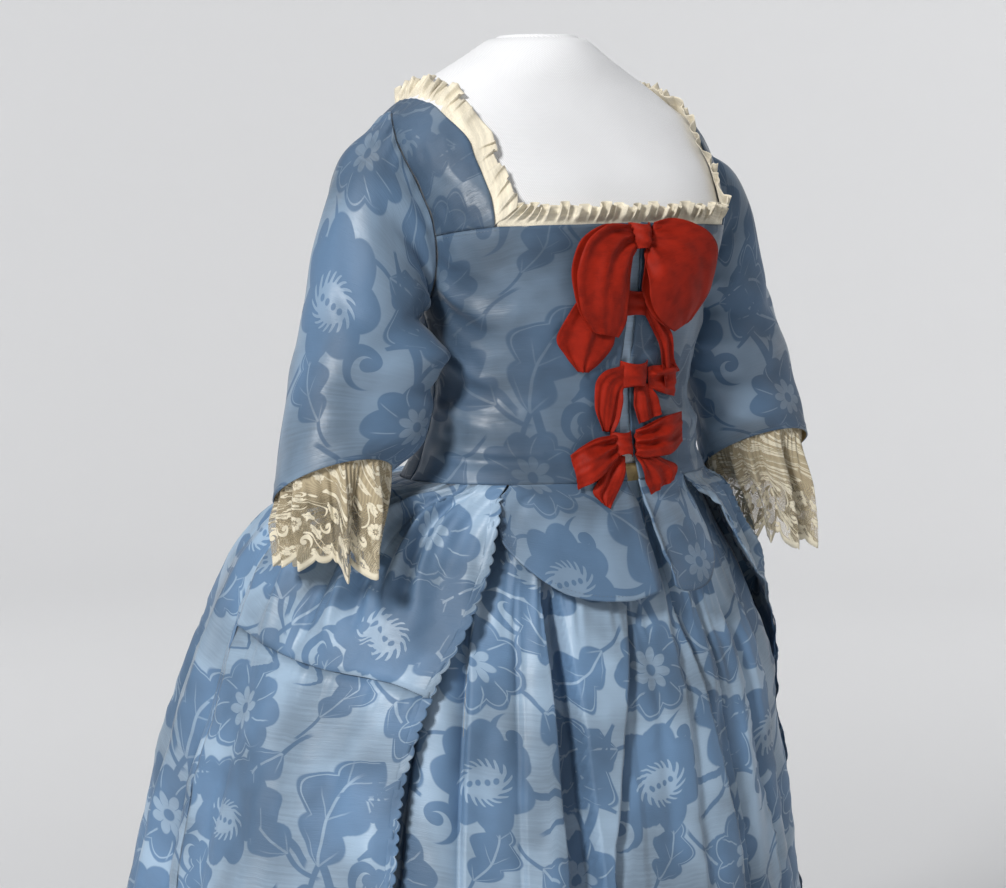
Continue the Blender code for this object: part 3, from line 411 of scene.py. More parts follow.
def grid_normals(points, closed=False):
    """Normals of a grid of points, out of the side where columns run to the left going up."""
    if closed:
        around = np.concatenate([points[-2:-1], points, points[1:2]])
        across = around[2:] - around[:-2]
    else:
        across = np.gradient(points, axis=0)
    return unit(np.cross(across, np.gradient(points, axis=1)))


def add_object(name, data):
    """New object with that data, in the scene."""
    item = bpy.data.objects.new(name, data)
    bpy.context.scene.collection.objects.link(item)
    return item


def cells(columns, rows, count):
    """Faces of a grid over count columns of points, and the column and row of each corner."""
    i, j = np.meshgrid(np.arange(columns), np.arange(rows), indexing="ij")
    i, j = i.reshape(-1, 1) + (0, 1, 1, 0), j.reshape(-1, 1) + (0, 0, 1, 1)
    return i % count * (rows + 1) + j, i, j


def new_object(name, points, faces, material, uv=None, second=None, inside=None):
    """Mesh object with smooth faces; uv has one row for each corner of each face.

    Faces marked in the inside array take the second material.
    """
    mesh = bpy.data.meshes.new(name)
    flat = np.asarray(points, np.float32)
    faces = np.asarray(faces, np.int32)
    mesh.vertices.add(len(flat))
    mesh.vertices.foreach_set("co", flat.ravel())
    mesh.loops.add(faces.size)
    mesh.loops.foreach_set("vertex_index", faces.ravel())
    mesh.polygons.add(len(faces))
    mesh.polygons.foreach_set("loop_start", np.arange(len(faces), dtype=np.int32) * faces.shape[1])
    mesh.update(calc_edges=True)
    if uv is not None:
        layer = mesh.uv_layers.new(name="UVMap")
        layer.data.foreach_set("uv", np.asarray(uv, np.float32).ravel())
    mesh.materials.append(material)
    if second is not None:
        mesh.materials.append(second)
        mesh.polygons.foreach_set("material_index", np.asarray(inside, np.int32))
    mesh.shade_smooth()
    mesh.validate()
    return add_object(name, mesh)


def cloth(name, points, material, uv=None, offset=(0.0, 0.0), thickness=SILK, closed=False,
          lining=None, band=None):
    """Thin closed wall under a grid of points [column, row], its outer face along the grid.

    A closed grid repeats its first column at its end. The lining covers the inner face, and the
    outer face too from the row named as the band.
    """
    if uv is None:
        uv = unroll(points)
    uv = uv + np.asarray(offset)
    columns, rows = points.shape[0] - 1, points.shape[1] - 1
    kept = points[:-1] if closed else points
    count = len(kept)
    inner = (points - grid_normals(points, closed) * thickness)[:count]
    front, i, j = cells(columns, rows, count)
    base = count * (rows + 1)
    faces = [front, front[:, ::-1] + base]
    maps = [uv[i, j], uv[i, j][:, ::-1]]

    def rim(i, j, next_i, next_j):
        """Narrow faces along a cut edge, by the column and row of their ends."""
        first = i % count * (rows + 1) + j
        last = next_i % count * (rows + 1) + next_j
        faces.append(np.stack([first, last, last + base, first + base], axis=1))
        ends = uv[i, j], uv[next_i, next_j]
        maps.append(np.stack([ends[0], ends[1], ends[1], ends[0]], axis=1))
    column, row = np.arange(columns), np.arange(rows)
    rim(column + 1, 0, column, 0)
    rim(column, rows, column + 1, rows)
    if not closed:
        rim(0, row, 0, row + 1)
        rim(columns, row + 1, columns, row)
    every = np.concatenate([kept.reshape(-1, 3), inner.reshape(-1, 3)])
    faces = np.concatenate(faces)
    inside = np.zeros(len(faces), np.int32)
    if lining is not None:
        inside[len(front):2 * len(front)] = 1
        if band is not None:
            inside[:len(front)][j[:, 0] >= band] = 1
    return new_object(name, every, faces, material, np.concatenate(maps).reshape(-1, 2), lining,
                      inside)


def grid(across, along):
    """Share arrays [column, row] of a grid with that many columns and rows."""
    return np.meshgrid(np.linspace(0.0, 1.0, across + 1), np.linspace(0.0, 1.0, along + 1),
                       indexing="ij")


def outward(points, side):
    """Columns of a mirrored piece turned round, so that its outer face stays outside."""
    return points[::-1] if side < 0 else points


def own_start(side):
    """Share across at which such a piece has the column next to the centre front."""
    return 1.0 if side < 0 else 0.0


def stand_in(item, node):
    """Says that the piece stands for a solid and rides on the gown."""
    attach(item, "root")
    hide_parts(node)


def wear(item, node, slot, held, rests_on, *grids):
    """Says that the piece stands for a solid and rides on the gown, as stand_in does.

    The grids are not used.
    """
    stand_in(item, node)


# Repeat of the damask, in metres: its width, and the rise from one row to the next, which is
# shifted half a width and mirrored
REPEAT_WIDTH = 0.2236
REPEAT_RISE = 0.205

# Motifs of one repeat: shape, across, up, turn in degrees, size
DAMASK_MOTIFS = (
    ("stem", 0.015, 0.102, 82.0, 0.16),
    ("stem", -0.073, 0.14, -20.0, 0.14),
    ("leaf", 0.005, 0.114, 62.0, 0.116),
    ("leaf", -0.028, 0.124, 128.0, 0.1),
    ("leaf", 0.064, 0.012, -58.0, 0.092),
    ("leaf", -0.062, 0.07, 205.0, 0.082),
    ("leaf", 0.052, 0.182, -22.0, 0.078),
    ("leaf", 0.094, 0.052, 112.0, 0.07),
    ("fringed", 0.108, 0.15, -15.0, 0.056),
    ("blossom", 0.0, 0.05, 10.0, 0.052),
    ("curl", 0.058, 0.104, 40.0, 0.024),
    ("curl", -0.084, 0.19, 200.0, 0.022),
    ("stamens", -0.062, 0.0, -125.0, 0.05),
    ("stamens", 0.046, 0.122, 30.0, 0.046),
)
# Motifs of the lace, on a repeat of its own
LACE_WIDTH = 0.046
LACE_RISE = 0.036
LACE_MOTIFS = (
    ("stem", 0.02, 0.02, 60.0, 0.03),
    ("leaf", 0.014, 0.022, 70.0, 0.013),
    ("leaf", 0.037, 0.004, 130.0, 0.012),
    ("curl", 0.03, 0.024, 40.0, 0.0085),
    ("curl", 0.003, 0.033, 160.0, 0.007),
    ("blossom", 0.012, 0.009, 0.0, 0.0085),
)


class Signal:
    """A socket's value in a tree; each sum, product or difference of it adds a node."""

    def __init__(self, wires, socket):
        self.wires = wires
        self.socket = socket

    def __add__(self, other):
        return self.wires.math("ADD", self, other)

    def __sub__(self, other):
        return self.wires.math("SUBTRACT", self, other)

    def __rsub__(self, other):
        return self.wires.math("SUBTRACT", other, self)

    def __mul__(self, other):
        return self.wires.math("MULTIPLY", self, other)

    def __truediv__(self, other):
        return self.wires.math("DIVIDE", self, other)

    def __abs__(self):
        return self.wires.math("ABSOLUTE", self)

    __radd__ = __add__
    __rmul__ = __mul__


class Wires:
    """Short ways to add and join the nodes of one tree."""

    def __init__(self, tree):
        self.tree = tree

    def put(self, socket, value):
        """Feeds a socket with a signal or a plain value."""
        if isinstance(value, Signal):
            self.tree.links.new(value.socket, socket)
        else:
            socket.default_value = value

    def node(self, kind, inputs, **settings):
        """New node, its inputs fed by name or number."""
        item = self.tree.nodes.new(kind)
        for key, value in settings.items():
            setattr(item, key, value)
        for key, value in inputs.items():
            self.put(item.inputs[key], value)
        return item

    def out(self, kind, inputs, output=0, **settings):
        """Signal out of a new node, by the name or number of its output."""
        return Signal(self, self.node(kind, inputs, **settings).outputs[output])

    def signals(self, kind, inputs, **settings):
        """All signals out of a new node, by name."""
        item = self.node(kind, inputs, **settings)
        return {socket.name: Signal(self, socket) for socket in item.outputs}

    def math(self, operation, *values):
        return self.out("ShaderNodeMath", dict(enumerate(values)), operation=operation)

    def vector(self, operation, *values):
        return self.out("ShaderNodeVectorMath", dict(enumerate(values)), operation=operation)

    def split(self, vector):
        """The first two parts of a vector."""
        parts = self.signals("ShaderNodeSeparateXYZ", {0: vector})
        return parts["X"], parts["Y"]

    def most(self, first, *others):
        for other in others:
            first = self.math("MAXIMUM", first, other)
        return first

    def cut(self, a, b):
        """What is in a and not in b."""
        return a * (1.0 - b)

    def length(self, x, y):
        return self.math("SQRT", x * x + y * y)

    def polar(self, x, y):
        """Distance from the middle, and turn round it."""
        return self.length(x, y), self.math("ARCTAN2", y, x)

    def ramp(self, value, low, high):
        """Smooth step from 0 at low to 1 at high; low may be the larger."""
        rising = low < high
        return self.out("ShaderNodeMapRange",
                        {"Value": value, "From Min": min(low, high), "From Max": max(low, high),
                         "To Min": 0.0 if rising else 1.0, "To Max": 1.0 if rising else 0.0},
                        interpolation_type="SMOOTHSTEP")

    def wave(self, value, pace=1.0, shift=0.0):
        return self.math("SINE", self.math("MULTIPLY_ADD", value, pace, shift))

    def noise(self, vector, scale, detail=2.0, stretch=None, output="Fac"):
        if stretch is not None:
            vector = self.vector("MULTIPLY", vector, stretch)
        return self.out("ShaderNodeTexNoise",
                        {"Vector": vector, "Scale": scale, "Detail": detail}, output)

    def group(self, tree, **values):
        """All signals out of a copy of a node group, by name."""
        return self.signals("ShaderNodeGroup", values, node_tree=tree)

    def mix(self, share, first, second):
        """Colour between two others."""
        return self.out("ShaderNodeMix", {0: share, 6: first, 7: second}, 2, data_type="RGBA")

    def fade(self, share, colour, low, high=1.0):
        """From the colour times low, where the share is 0, to the colour times high."""
        return self.mix(share, dim(colour, low), dim(colour, high))


class Finish(Wires):
    """A new material, made by feeding the sockets of its Principled shader."""

    def __init__(self, name, **sockets):
        self.material = bpy.data.materials.new(name)
        self.material.use_nodes = True
        super().__init__(self.material.node_tree)
        self.feed(**sockets)

    def feed(self, **sockets):
        """Feeds sockets of the shader; their names have _ for a space."""
        shader = self.tree.nodes["Principled BSDF"]
        for key, value in sockets.items():
            self.put(shader.inputs[key.replace("_", " ")], value)

    def uv(self):
        return self.out("ShaderNodeUVMap", {}, uv_map="UVMap")

    def own_place(self):
        """Place of a point in its object, for pieces without a UV map."""
        return self.out("ShaderNodeTexCoord", {}, "Object")

    def bump(self, height, strength, distance):
        self.feed(Normal=self.out("ShaderNodeBump", {"Strength": strength, "Distance": distance,
                                                     "Height": height}, "Normal"))


def dim(colour, share):
    """The colour made darker or lighter, with its alpha."""
    return (*[min(1.0, c * share) for c in colour], 1.0)


def made(maker, name, *values):
    """The node group of that name, made on first use."""
    return bpy.data.node_groups.get(name) or maker(name, *values)


def new_group(name, inputs, outputs):
    """Empty shader group: its wires, its input signals and a call that feeds its outputs."""
    tree = bpy.data.node_groups.new(name, "ShaderNodeTree")
    for names, way in ((inputs, "INPUT"), (outputs, "OUTPUT")):
        for key in names:
            kind = "NodeSocketVector" if key == "vector" else "NodeSocketFloat"
            tree.interface.new_socket(key, in_out=way, socket_type=kind)
    w = Wires(tree)

    def leave(**values):
        w.node("NodeGroupOutput", values)
        return tree
    return w, w.signals("NodeGroupInput", {}), leave


def place_group(name):
    """Where a point of the cloth lies in the frame of the nearest copy of a motif."""
    w, entry, leave = new_group(
        name, ("u", "v", "x", "y", "cosine", "sine", "size", "width", "rise"), ("across", "up"))
    width, rise = entry["width"], entry["rise"]
    x = entry["u"] - entry["x"]
    y = entry["v"] - entry["y"]
    row = w.math("ROUND", y / rise)
    y = y - row * rise
    odd = w.math("FLOORED_MODULO", row, 2.0)
    x = x - odd * 0.5 * width
    x = (x - width * w.math("ROUND", x / width)) * (1.0 - odd * 2.0)
    cosine, sine, size = entry["cosine"], entry["sine"], entry["size"]
    return leave(across=(x * cosine + y * sine) / size, up=(y * cosine - x * sine) / size)


def motif_group(name):
    """Empty group of a motif, with the place in its frame and masks of it and its light veins."""
    w, entry, leave = new_group(name, ("across", "up"), ("motif", "vein"))
    return w, entry["across"], entry["up"], leave


def blossom_group(name):
    """Round flower: scalloped rim, curved light veins and a light daisy round a dark eye."""
    w, x, y, leave = motif_group(name)
    radius, turn = w.polar(x, y)
    rim = 0.8 + abs(w.wave(turn, 4.5, 0.6)) * 0.17 + w.wave(turn, 2.0, 1.0) * 0.06 - radius
    rays = abs(w.math("SINE", radius * 1.6 + turn * 4.5)) * radius
    rays = w.ramp(rays, 0.085, 0.045) * w.ramp(radius, 0.42, 0.5) * w.ramp(radius, 0.88, 0.74)
    petals = abs(w.wave(turn, 4.0))
    daisy = w.ramp(0.24 + petals * 0.16 - radius, -0.02, 0.02)
    eye = w.ramp(radius, 0.12, 0.09)
    partings = w.ramp(petals, 0.16, 0.08) * w.ramp(radius, 0.14, 0.2)
    echo = w.ramp(abs(rim - 0.095), 0.022, 0.008) * w.ramp(w.wave(turn, 1.0, 2.4), -0.3, 0.4)
    light = w.most(rays, echo, w.cut(w.cut(daisy, eye), partings * 0.8))
    return leave(motif=w.ramp(rim, -0.02, 0.02), vein=light)


def fringed_group(name):
    """Dark round flower holding a light fringed pod with dark seeds."""
    w, x, y, leave = motif_group(name)
    radius, turn = w.polar(x, y)
    body = w.ramp(0.76 + abs(w.wave(turn, 3.5, 0.9)) * 0.2 - radius, -0.02, 0.02)
    y = y + 0.1
    oval = w.math("SQRT", x * x + y * y * 1.9)
    teeth = w.wave(oval * 2.0 + w.math("ARCTAN2", y, x), 17.0, 0.4)
    light = w.ramp(w.ramp(teeth, -0.55, 0.9) * 0.17 + 0.36 - oval, -0.015, 0.015)
    seeds = w.most(*[w.ramp(w.length(x - middle, y), 0.062, 0.042)
                     for middle in (-0.24, -0.09, 0.08, 0.23)])
    return leave(motif=body, vein=w.cut(light, seeds))


def leaf_group(name):
    """Curved leaf with lobes on both edges, from the stalk at 0 to the tip at 1."""
    w, x, y, leave = motif_group(name)
    arch = w.wave(x, math.pi)
    aside = y - arch * 0.16
    flank = abs(aside)
    lobes = 0.22 + abs(w.wave(x, 8.2, 0.5)) * 0.17
    edge = w.math("POWER", w.most(arch, 0.0), 0.75) * lobes - flank
    body = w.ramp(edge, -0.015, 0.015) * w.ramp(abs(x - 0.5), 0.51, 0.49)
    echo = w.ramp(abs(edge - 0.05), 0.013, 0.005) * w.ramp(aside, 0.0, 0.03)
    echo = echo * w.ramp(x, 0.25, 0.4)
    rib = w.ramp(flank, 0.02, 0.009) * w.ramp(x, 0.86, 0.7)
    side = w.ramp(abs(w.wave(flank * 1.1 - x, 9.0)), 0.13, 0.05) * w.ramp(flank, 0.2, 0.1)
    stalk = w.ramp(abs(y + x * x * 0.9), 0.034, 0.018)
    stalk = stalk * w.ramp(x, -0.42, -0.34) * w.ramp(x, 0.1, 0.0)
    return leave(motif=w.most(body, stalk), vein=w.most(rib, echo, side * 0.65) * body)


def curl_group(name):
    """Comma-shaped tendril that winds once round a bud."""
    w, x, y, leave = motif_group(name)
    radius, turn = w.polar(x, y)
    wind = w.math("LOGARITHM", w.most(radius, 0.02), math.e)
    phase = w.math("FRACT", wind * (1.0 / 2.1) - turn * (0.5 / math.pi)) - 0.5
    band = w.ramp(abs(phase), 0.21, 0.17) * w.ramp(radius, 0.2, 0.26) * w.ramp(radius, 1.0, 0.94)
    return leave(motif=w.most(band, w.ramp(radius, 0.3, 0.26)))


def stem_group(name):
    """Long thin stem in a shallow curve, from -0.5 to 0.5."""
    w, x, y, leave = motif_group(name)
    aside = abs(y - w.wave(x, math.tau) * 0.09)
    return leave(motif=w.ramp(aside, 0.034, 0.024) * w.ramp(abs(x), 0.52, 0.48))


def stamens_group(name):
    """Three thin stalks with round ends, spread from one point."""
    w, x, y, leave = motif_group(name)
    drawn = []
    for slope, end in ((-0.42, 0.8), (0.05, 1.0), (0.52, 0.74)):
        stalk = w.ramp(abs(y - x * x * slope), 0.05, 0.026) * w.ramp(x, -0.02, 0.03)
        drawn.append(stalk * w.ramp(x, end, end - 0.04))
        drawn.append(w.ramp(w.length(x - end, y - slope * end * end), 0.135, 0.105))
    return leave(motif=w.most(*drawn))


MOTIF_SHAPES = {"blossom": blossom_group, "fringed": fringed_group, "leaf": leaf_group,
                "curl": curl_group, "stem": stem_group, "stamens": stamens_group}


def pattern_group(name, motifs, width, rise, warp, pace):
    """Woven pattern over a UV map in metres: mask of the motifs and of their light veins."""
    w, entry, leave = new_group(name, ("vector",), ("motif", "vein"))
    soft = w.noise(entry["vector"], pace, 1.0, output="Color")
    u, v = w.split(w.vector("MULTIPLY_ADD", soft, (warp, warp, 0.0), entry["vector"]))
    motif = vein = 0.0
    for key, x, y, turn, size in motifs:
        spot = w.group(made(place_group, "motif_place"), u=u, v=v, x=x, y=y,
                       cosine=math.cos(math.radians(turn)), sine=math.sin(math.radians(turn)),
                       size=size, width=width, rise=rise)
        drawn = w.group(made(MOTIF_SHAPES[key], "motif_" + key), **spot)
        vein = w.most(w.cut(vein, drawn["motif"]), drawn["vein"])
        motif = w.most(motif, drawn["motif"])
    return leave(motif=motif, vein=vein)


def slub_group(name):
    """Fine crosswise ribs and uneven threads of woven silk, over a UV map in metres. Its shade is
    the slubs' tone and, from the crumples of the bump, painted light and shade.
    """
    w, entry, leave = new_group(name, ("vector",), ("height", "shade"))
    threads = w.noise(entry["vector"], 1.0, 2.0, (90.0, 1500.0, 1.0))
    slubs = w.noise(entry["vector"], 1.0, 3.0, (14.0, 420.0, 1.0))
    crumple = w.noise(entry["vector"], 26.0, 3.0)
    return leave(height=threads * 0.25 + (slubs * 0.25 + crumple * 0.9),
                 shade=slubs * 0.55 + crumple * 0.45)


def damask_material(name, ground, motif, painted_light_scale, painted_sheen_contrast, satin):
    """Blue damask: satin ground, duller darker motifs and pale veins. Satin is its roughness. Its
    colours are scaled for each piece, painted shade on the bodice and painted light on the skirts,
    and the ground's lift over the motifs is painted satin sheen.
    """
    # Painted light and shade: the colours scaled for the piece, and the ground's contrast with the
    # motifs as painted satin sheen
    motif = [painted_light_scale * c for c in motif]
    ground = [m + painted_sheen_contrast * (painted_light_scale * g - m) for g, m in zip(ground, motif)]
    w = Finish(name, Sheen_Weight=0.12, Sheen_Roughness=0.4, Specular_IOR_Level=0.5)
    uv = w.uv()
    figure = w.group(made(pattern_group, "damask_figure", DAMASK_MOTIFS, REPEAT_WIDTH,
                          REPEAT_RISE, 0.01, 16.0), vector=uv)
    slubs = w.group(made(slub_group, "silk_slubs"), vector=uv)
    mask = w.cut(figure["motif"], figure["vein"] * 0.85)
    patches = w.ramp(w.noise(uv, 8.0, 3.0), 0.34, 0.66)
    base = w.fade(patches, ground, 0.6, 1.28)
    # Ground paler along the slubs and on the crumples' ridges: slub tone and painted sheen
    base = w.mix(w.ramp(slubs["shade"], 0.35, 0.75) * 0.35, base, dim(ground, 1.28))
    w.feed(Base_Color=w.mix(mask, base, w.fade(patches, motif, 0.72, 1.25)),
           Roughness=mask * (0.62 - satin) + satin)
    w.bump(slubs["height"], 0.5, 0.0019)
    return w.material


def plain_silk(name, colour, roughness):
    """Silk in one colour, darker along its slubs and in the troughs of its crumples: slub tone and
    painted shade.
    """
    w = Finish(name, Roughness=roughness, Sheen_Weight=0.15, Sheen_Roughness=0.4)
    slubs = w.group(made(slub_group, "silk_slubs"), vector=w.uv())
    w.feed(Base_Color=w.fade(w.ramp(slubs["shade"], 0.3, 0.75), colour, 0.72))
    w.bump(slubs["height"], 0.3, 0.0012)
    return w.material


def lace_material(name, colour):
    """Fine net with raised figures; the net lets the sleeve and skirt show through."""
    w = Finish(name, Roughness=0.85, Sheen_Weight=0.2)
    uv = w.uv()
    u, v = w.split(uv)
    figure = w.group(made(pattern_group, "lace_figure", LACE_MOTIFS, LACE_WIDTH, LACE_RISE,
                          0.0012, 45.0), vector=uv)
    net = w.wave(u, 2600.0) * w.wave(v, 2600.0)
    solid = w.most(w.cut(figure["motif"], figure["vein"] * 0.8), w.ramp(v, 0.0085, 0.005))
    close = w.ramp(v + w.noise(uv, 30.0, 1.0) * 0.03, 0.06, 0.095)
    cover = w.ramp(net, -0.2, 0.5) * 0.3 + (close * 0.5 + 0.12)
    # The net darker and browner than the figures: painted shade between the flounce's folds and
    # layers
    net_painted_shade = [c * share for c, share in zip(colour, (0.7, 0.64, 0.54))]
    w.feed(Alpha=w.most(cover, solid * 0.97),
           Base_Color=w.mix(solid, dim(net_painted_shade, 1.0), dim(colour, 1.0)))
    w.bump(w.noise(uv, 1.0, 2.0, (700.0, 700.0, 1.0)), 0.6, 0.0008)
    return w.material


def ribbon_material(name, colour):
    """Soft red ribbon with crosswise ribs; its colour is darker in the troughs of its ribs and
    crumples, painted shade that follows the bump.
    """
    w = Finish(name, Roughness=0.6, Specular_IOR_Level=0.12)
    uv = w.uv()
    ribs = w.noise(uv, 1.0, 2.0, (1500.0, 120.0, 1.0))
    crumple = w.noise(uv, 60.0, 3.0)
    # Darker in the troughs of the ribs and crumples that the bump raises: painted shade
    w.feed(Base_Color=w.fade(w.ramp(ribs * 0.3 + crumple * 0.7, 0.34, 0.62), colour, 0.66))
    w.bump(ribs * 0.2 + crumple, 0.3, 0.0014)
    return w.material


def linen_material(name, colour):
    """Plain linen, unbleached and a little stained."""
    w = Finish(name, Roughness=0.9, Specular_IOR_Level=0.3)
    uv = w.uv()
    u, v = w.split(uv)
    pace = math.tau / 0.0011
    stains = w.noise(uv, 14.0, 3.0)
    w.feed(Base_Color=w.fade(w.ramp(stains, 0.3, 0.7), colour, 0.6))
    w.bump(w.wave(u, pace) * w.wave(v, pace) + stains * 0.5, 0.3, 0.0004)
    return w.material


def gauze_material(name, colour):
    """Thin cream gauze, a little stained."""
    w = Finish(name, Roughness=0.85, Sheen_Weight=0.25)
    uv = w.uv()
    threads = w.noise(uv, 1.0, 2.0, (900.0, 900.0, 1.0))
    w.feed(Base_Color=w.fade(w.ramp(w.noise(uv, 22.0, 3.0), 0.35, 0.7), colour, 0.72),
           Alpha=w.ramp(threads, 0.4, 0.6) * 0.16 + 0.84)
    w.bump(threads, 0.4, 0.0005)
    return w.material


def knit_material(name, colour):
    """White knit: fine upright wales with rows of loops."""
    w = Finish(name, Roughness=0.92, Sheen_Weight=0.1)
    uv = w.uv()
    u, v = w.split(uv)
    wales = w.wave(v * 0.35 + u, math.tau / 0.0021)
    rows = w.wave(v, math.tau / 0.0017)
    shade = w.ramp(w.noise(uv, 9.0, 3.0), 0.3, 0.7)
    # Darker between the wales, painted shade in the knit's grooves; the shade noise adds random
    # mottling
    w.feed(Base_Color=w.fade(w.ramp(wales, -1.0, 0.6) * 0.6 + shade * 0.4, colour, 0.86))
    w.bump(wales + rows * 0.4, 0.35, 0.0004)
    return w.material


def steel_material(name, colour):
    """Brushed steel with faint scuffs."""
    w = Finish(name, Metallic=1.0)
    where = w.own_place()
    brush = w.noise(where, 1.0, 3.0, (40.0, 40.0, 900.0))
    w.feed(Base_Color=w.fade(w.ramp(w.noise(where, 18.0, 4.0), 0.35, 0.7), colour, 0.82),
           Roughness=w.ramp(brush, 0.3, 0.7) * 0.14 + 0.3)
    w.bump(brush, 0.15, 0.0003)
    return w.material


def stage_material(name, colour):
    """Plain matt backdrop."""
    w = Finish(name, Roughness=0.95)
    w.feed(Base_Color=w.fade(w.noise(w.own_place(), 1.5, 2.0), colour, 0.985))
    return w.material


def press_seams(points, uv, edges, depth=0.0009, reach=0.0035):
    """Points sunk a little along the given edges of the grid, where a seam is sewn and pressed."""
    across = uv[..., 0] - uv[:1, :, 0]
    width = across[-1:, :]
    up = uv[..., 1] - uv[:, :1, 1]
    length = up[:, -1:]
    sunk = np.zeros(points.shape[:2])
    for edge in edges:
        away = {"start": across, "end": width - across, "low": up, "high": length - up}[edge]
        sunk = np.maximum(sunk, np.exp(-(away / reach) ** 2))
    return points - grid_normals(points) * (depth * sunk)[..., None]


def front_edge(side):
    """Own-side angle of a front's centre edge, by height."""
    return Table(RIGHT_EDGE if side < 0 else LEFT_EDGE)


def front_area(side):
    """The front above the waist, in own-side angles."""
    table = front_edge(side)

    def edge(t):
        height = WAIST + (NECK_FRONT - WAIST) * np.asarray(t, float)
        return np.stack([table(height)[0], height], axis=-1)

    corner = (CORNER_ANGLE, NECK_CURVE[0][1])
    tab_end = ((RIGHT_TAB if side < 0 else LEFT_TAB)[-1][0], WAIST)
    hip = (SIDE_ANGLE, WAIST)
    top = joined(straight(edge(1.0), corner), straight(corner, armhole(STRAP_TURN)), 8 / 12)
    bottom = joined(straight(edge(0.0), tab_end), straight(tab_end, hip), 0.5)
    right = joined(straight(hip, armhole(180.0)), armhole_arc(180.0, STRAP_TURN), 6 / 9)
    return patch(edge, right, bottom, top)


def tab_lift(height):
    """How far a tab stands off the form, from nothing at the waist."""
    return 0.007 * (1.0 - steps(0.92, WAIST, height))


def tab_area(side):
    """The tab between its rounded outline, at v = 0, and the waist."""
    outline = trail(RIGHT_TAB if side < 0 else LEFT_TAB)
    table = front_edge(side)

    def place(u, v):
        start = table(WAIST)[0]
        end = outline(1.0)[0]
        high = np.stack([start + (end - start) * u, WAIST + 0.0 * u], axis=-1)
        low = outline(u)
        point = low + (high - low) * v[..., None]
        point[0, :, 0] = table(point[0, :, 1])[0]
        return point[..., 0], point[..., 1]
    return place


# Creases of the fronts: start x, start y, end x, end y, bow, width, depth; x is the own-side
# angle times FRONT_SCALE and y the height
FRONT_SCALE = 0.0026
RIGHT_FRONT_CREASES = (
    (0.205, 1.232, 0.12, 1.196, 0.004, 0.009, -0.0022),
    (0.212, 1.215, 0.125, 1.172, 0.006, 0.008, 0.0016),
    (0.22, 1.2, 0.14, 1.15, 0.004, 0.008, -0.0018),
    (0.235, 1.12, 0.11, 1.105, 0.006, 0.01, -0.0016),
    (0.245, 1.14, 0.13, 1.1, -0.006, 0.008, 0.0015),
    (0.25, 1.1, 0.12, 1.07, 0.006, 0.006, 0.0014),
    (0.24, 1.085, 0.06, 1.08, -0.008, 0.009, 0.0014),
    (0.23, 1.062, 0.08, 1.052, 0.004, 0.006, -0.0018),
    (0.225, 1.046, 0.04, 1.04, 0.003, 0.006, 0.0015),
    (0.02, 1.175, 0.085, 1.15, 0.004, 0.007, -0.0013),
    (0.018, 1.11, 0.09, 1.124, -0.004, 0.008, -0.0014),
    (0.12, 1.262, 0.02, 1.256, 0.002, 0.006, -0.001),
)
LEFT_FRONT_CREASES = (
    (0.2, 1.23, 0.115, 1.19, 0.004, 0.009, -0.002),
    (0.215, 1.205, 0.13, 1.16, 0.005, 0.008, 0.0016),
    (0.235, 1.11, 0.09, 1.098, 0.006, 0.01, -0.0016),
    (0.23, 1.07, 0.07, 1.06, -0.005, 0.007, 0.0015),
    (0.22, 1.045, 0.04, 1.042, 0.003, 0.006, -0.0016),
    (0.018, 1.14, 0.09, 1.16, 0.004, 0.008, -0.0013),
)
TAB_CREASES = (
    (0.02, 1.012, 0.03, 0.925, 0.004, 0.008, -0.0018),
    (0.055, 1.01, 0.062, 0.93, -0.003, 0.009, 0.0016),
    (0.085, 1.012, 0.08, 0.95, 0.003, 0.007, -0.0016),
)


def make_front(label, side, material, tab_material, lining):
    """Front from its centre edge to the side seam, and the rounded tab cut in one with it."""
    u, v = grid(76, 88)
    angle, height = front_area(side)(u, v)
    angle[-1] -= SEAM_ANGLE
    x = angle * FRONT_SCALE
    rows = RIGHT_FRONT_CREASES if side < 0 else LEFT_FRONT_CREASES
    lift = 2.6 * creases(x, height, rows) * steps(0.0, 0.1, u) * steps(1.0, 0.93, u)
    lift = lift * steps(0.0, 0.05, v) + 0.0007 * sways(x, height, 0.03, 3 + side)
    lift += 0.0009 * steps(0.05, 0.0, u)
    lift = np.where(lift < 0.0, 0.0028 * np.tanh(lift / 0.0028), lift)
    upper = outward(gown_points(side * angle, height, lift), side)
    upper_uv = unroll(upper, own_start(side), 0.0)
    upper = press_seams(upper, upper_uv, ("start", "high") if side < 0 else ("end", "high"))

    u, v = grid(48, 40)
    angle, height = tab_area(side)(u, v)
    x = angle * FRONT_SCALE
    lift = tab_lift(height)
    lift += creases(x, height, TAB_CREASES) * steps(1.0, 0.7, v)
    lift += 0.0016 * sways(x, height, 0.045, 11 + side) * steps(1.0, 0.6, v)
    lift += 0.0009 * steps(0.05, 0.0, u) * steps(WAIST, 0.99, height)
    lower = outward(gown_points(side * angle, height, lift), side)
    lower_uv = unroll(lower, own_start(side), 1.0)
    offset = (0.096, 0.038) if side < 0 else (0.055, -0.06)
    name = "front_and_tab_" + label
    item = cloth(name, upper, material, upper_uv, offset, lining=lining)
    tab = cloth(name + "_tab", lower, tab_material, lower_uv, offset)
    wear(join(item, tab), "bodice_front_" + label, "damask", "stretched", ["form_torso"],
         upper, lower)


def join(*items):
    """One object from several, the first keeping its name; the parts' points stay their own."""
    bpy.ops.object.select_all(action="DESELECT")
    for item in items:
        item.select_set(True)
    bpy.context.view_layer.objects.active = items[0]
    bpy.ops.object.join()
    return items[0]


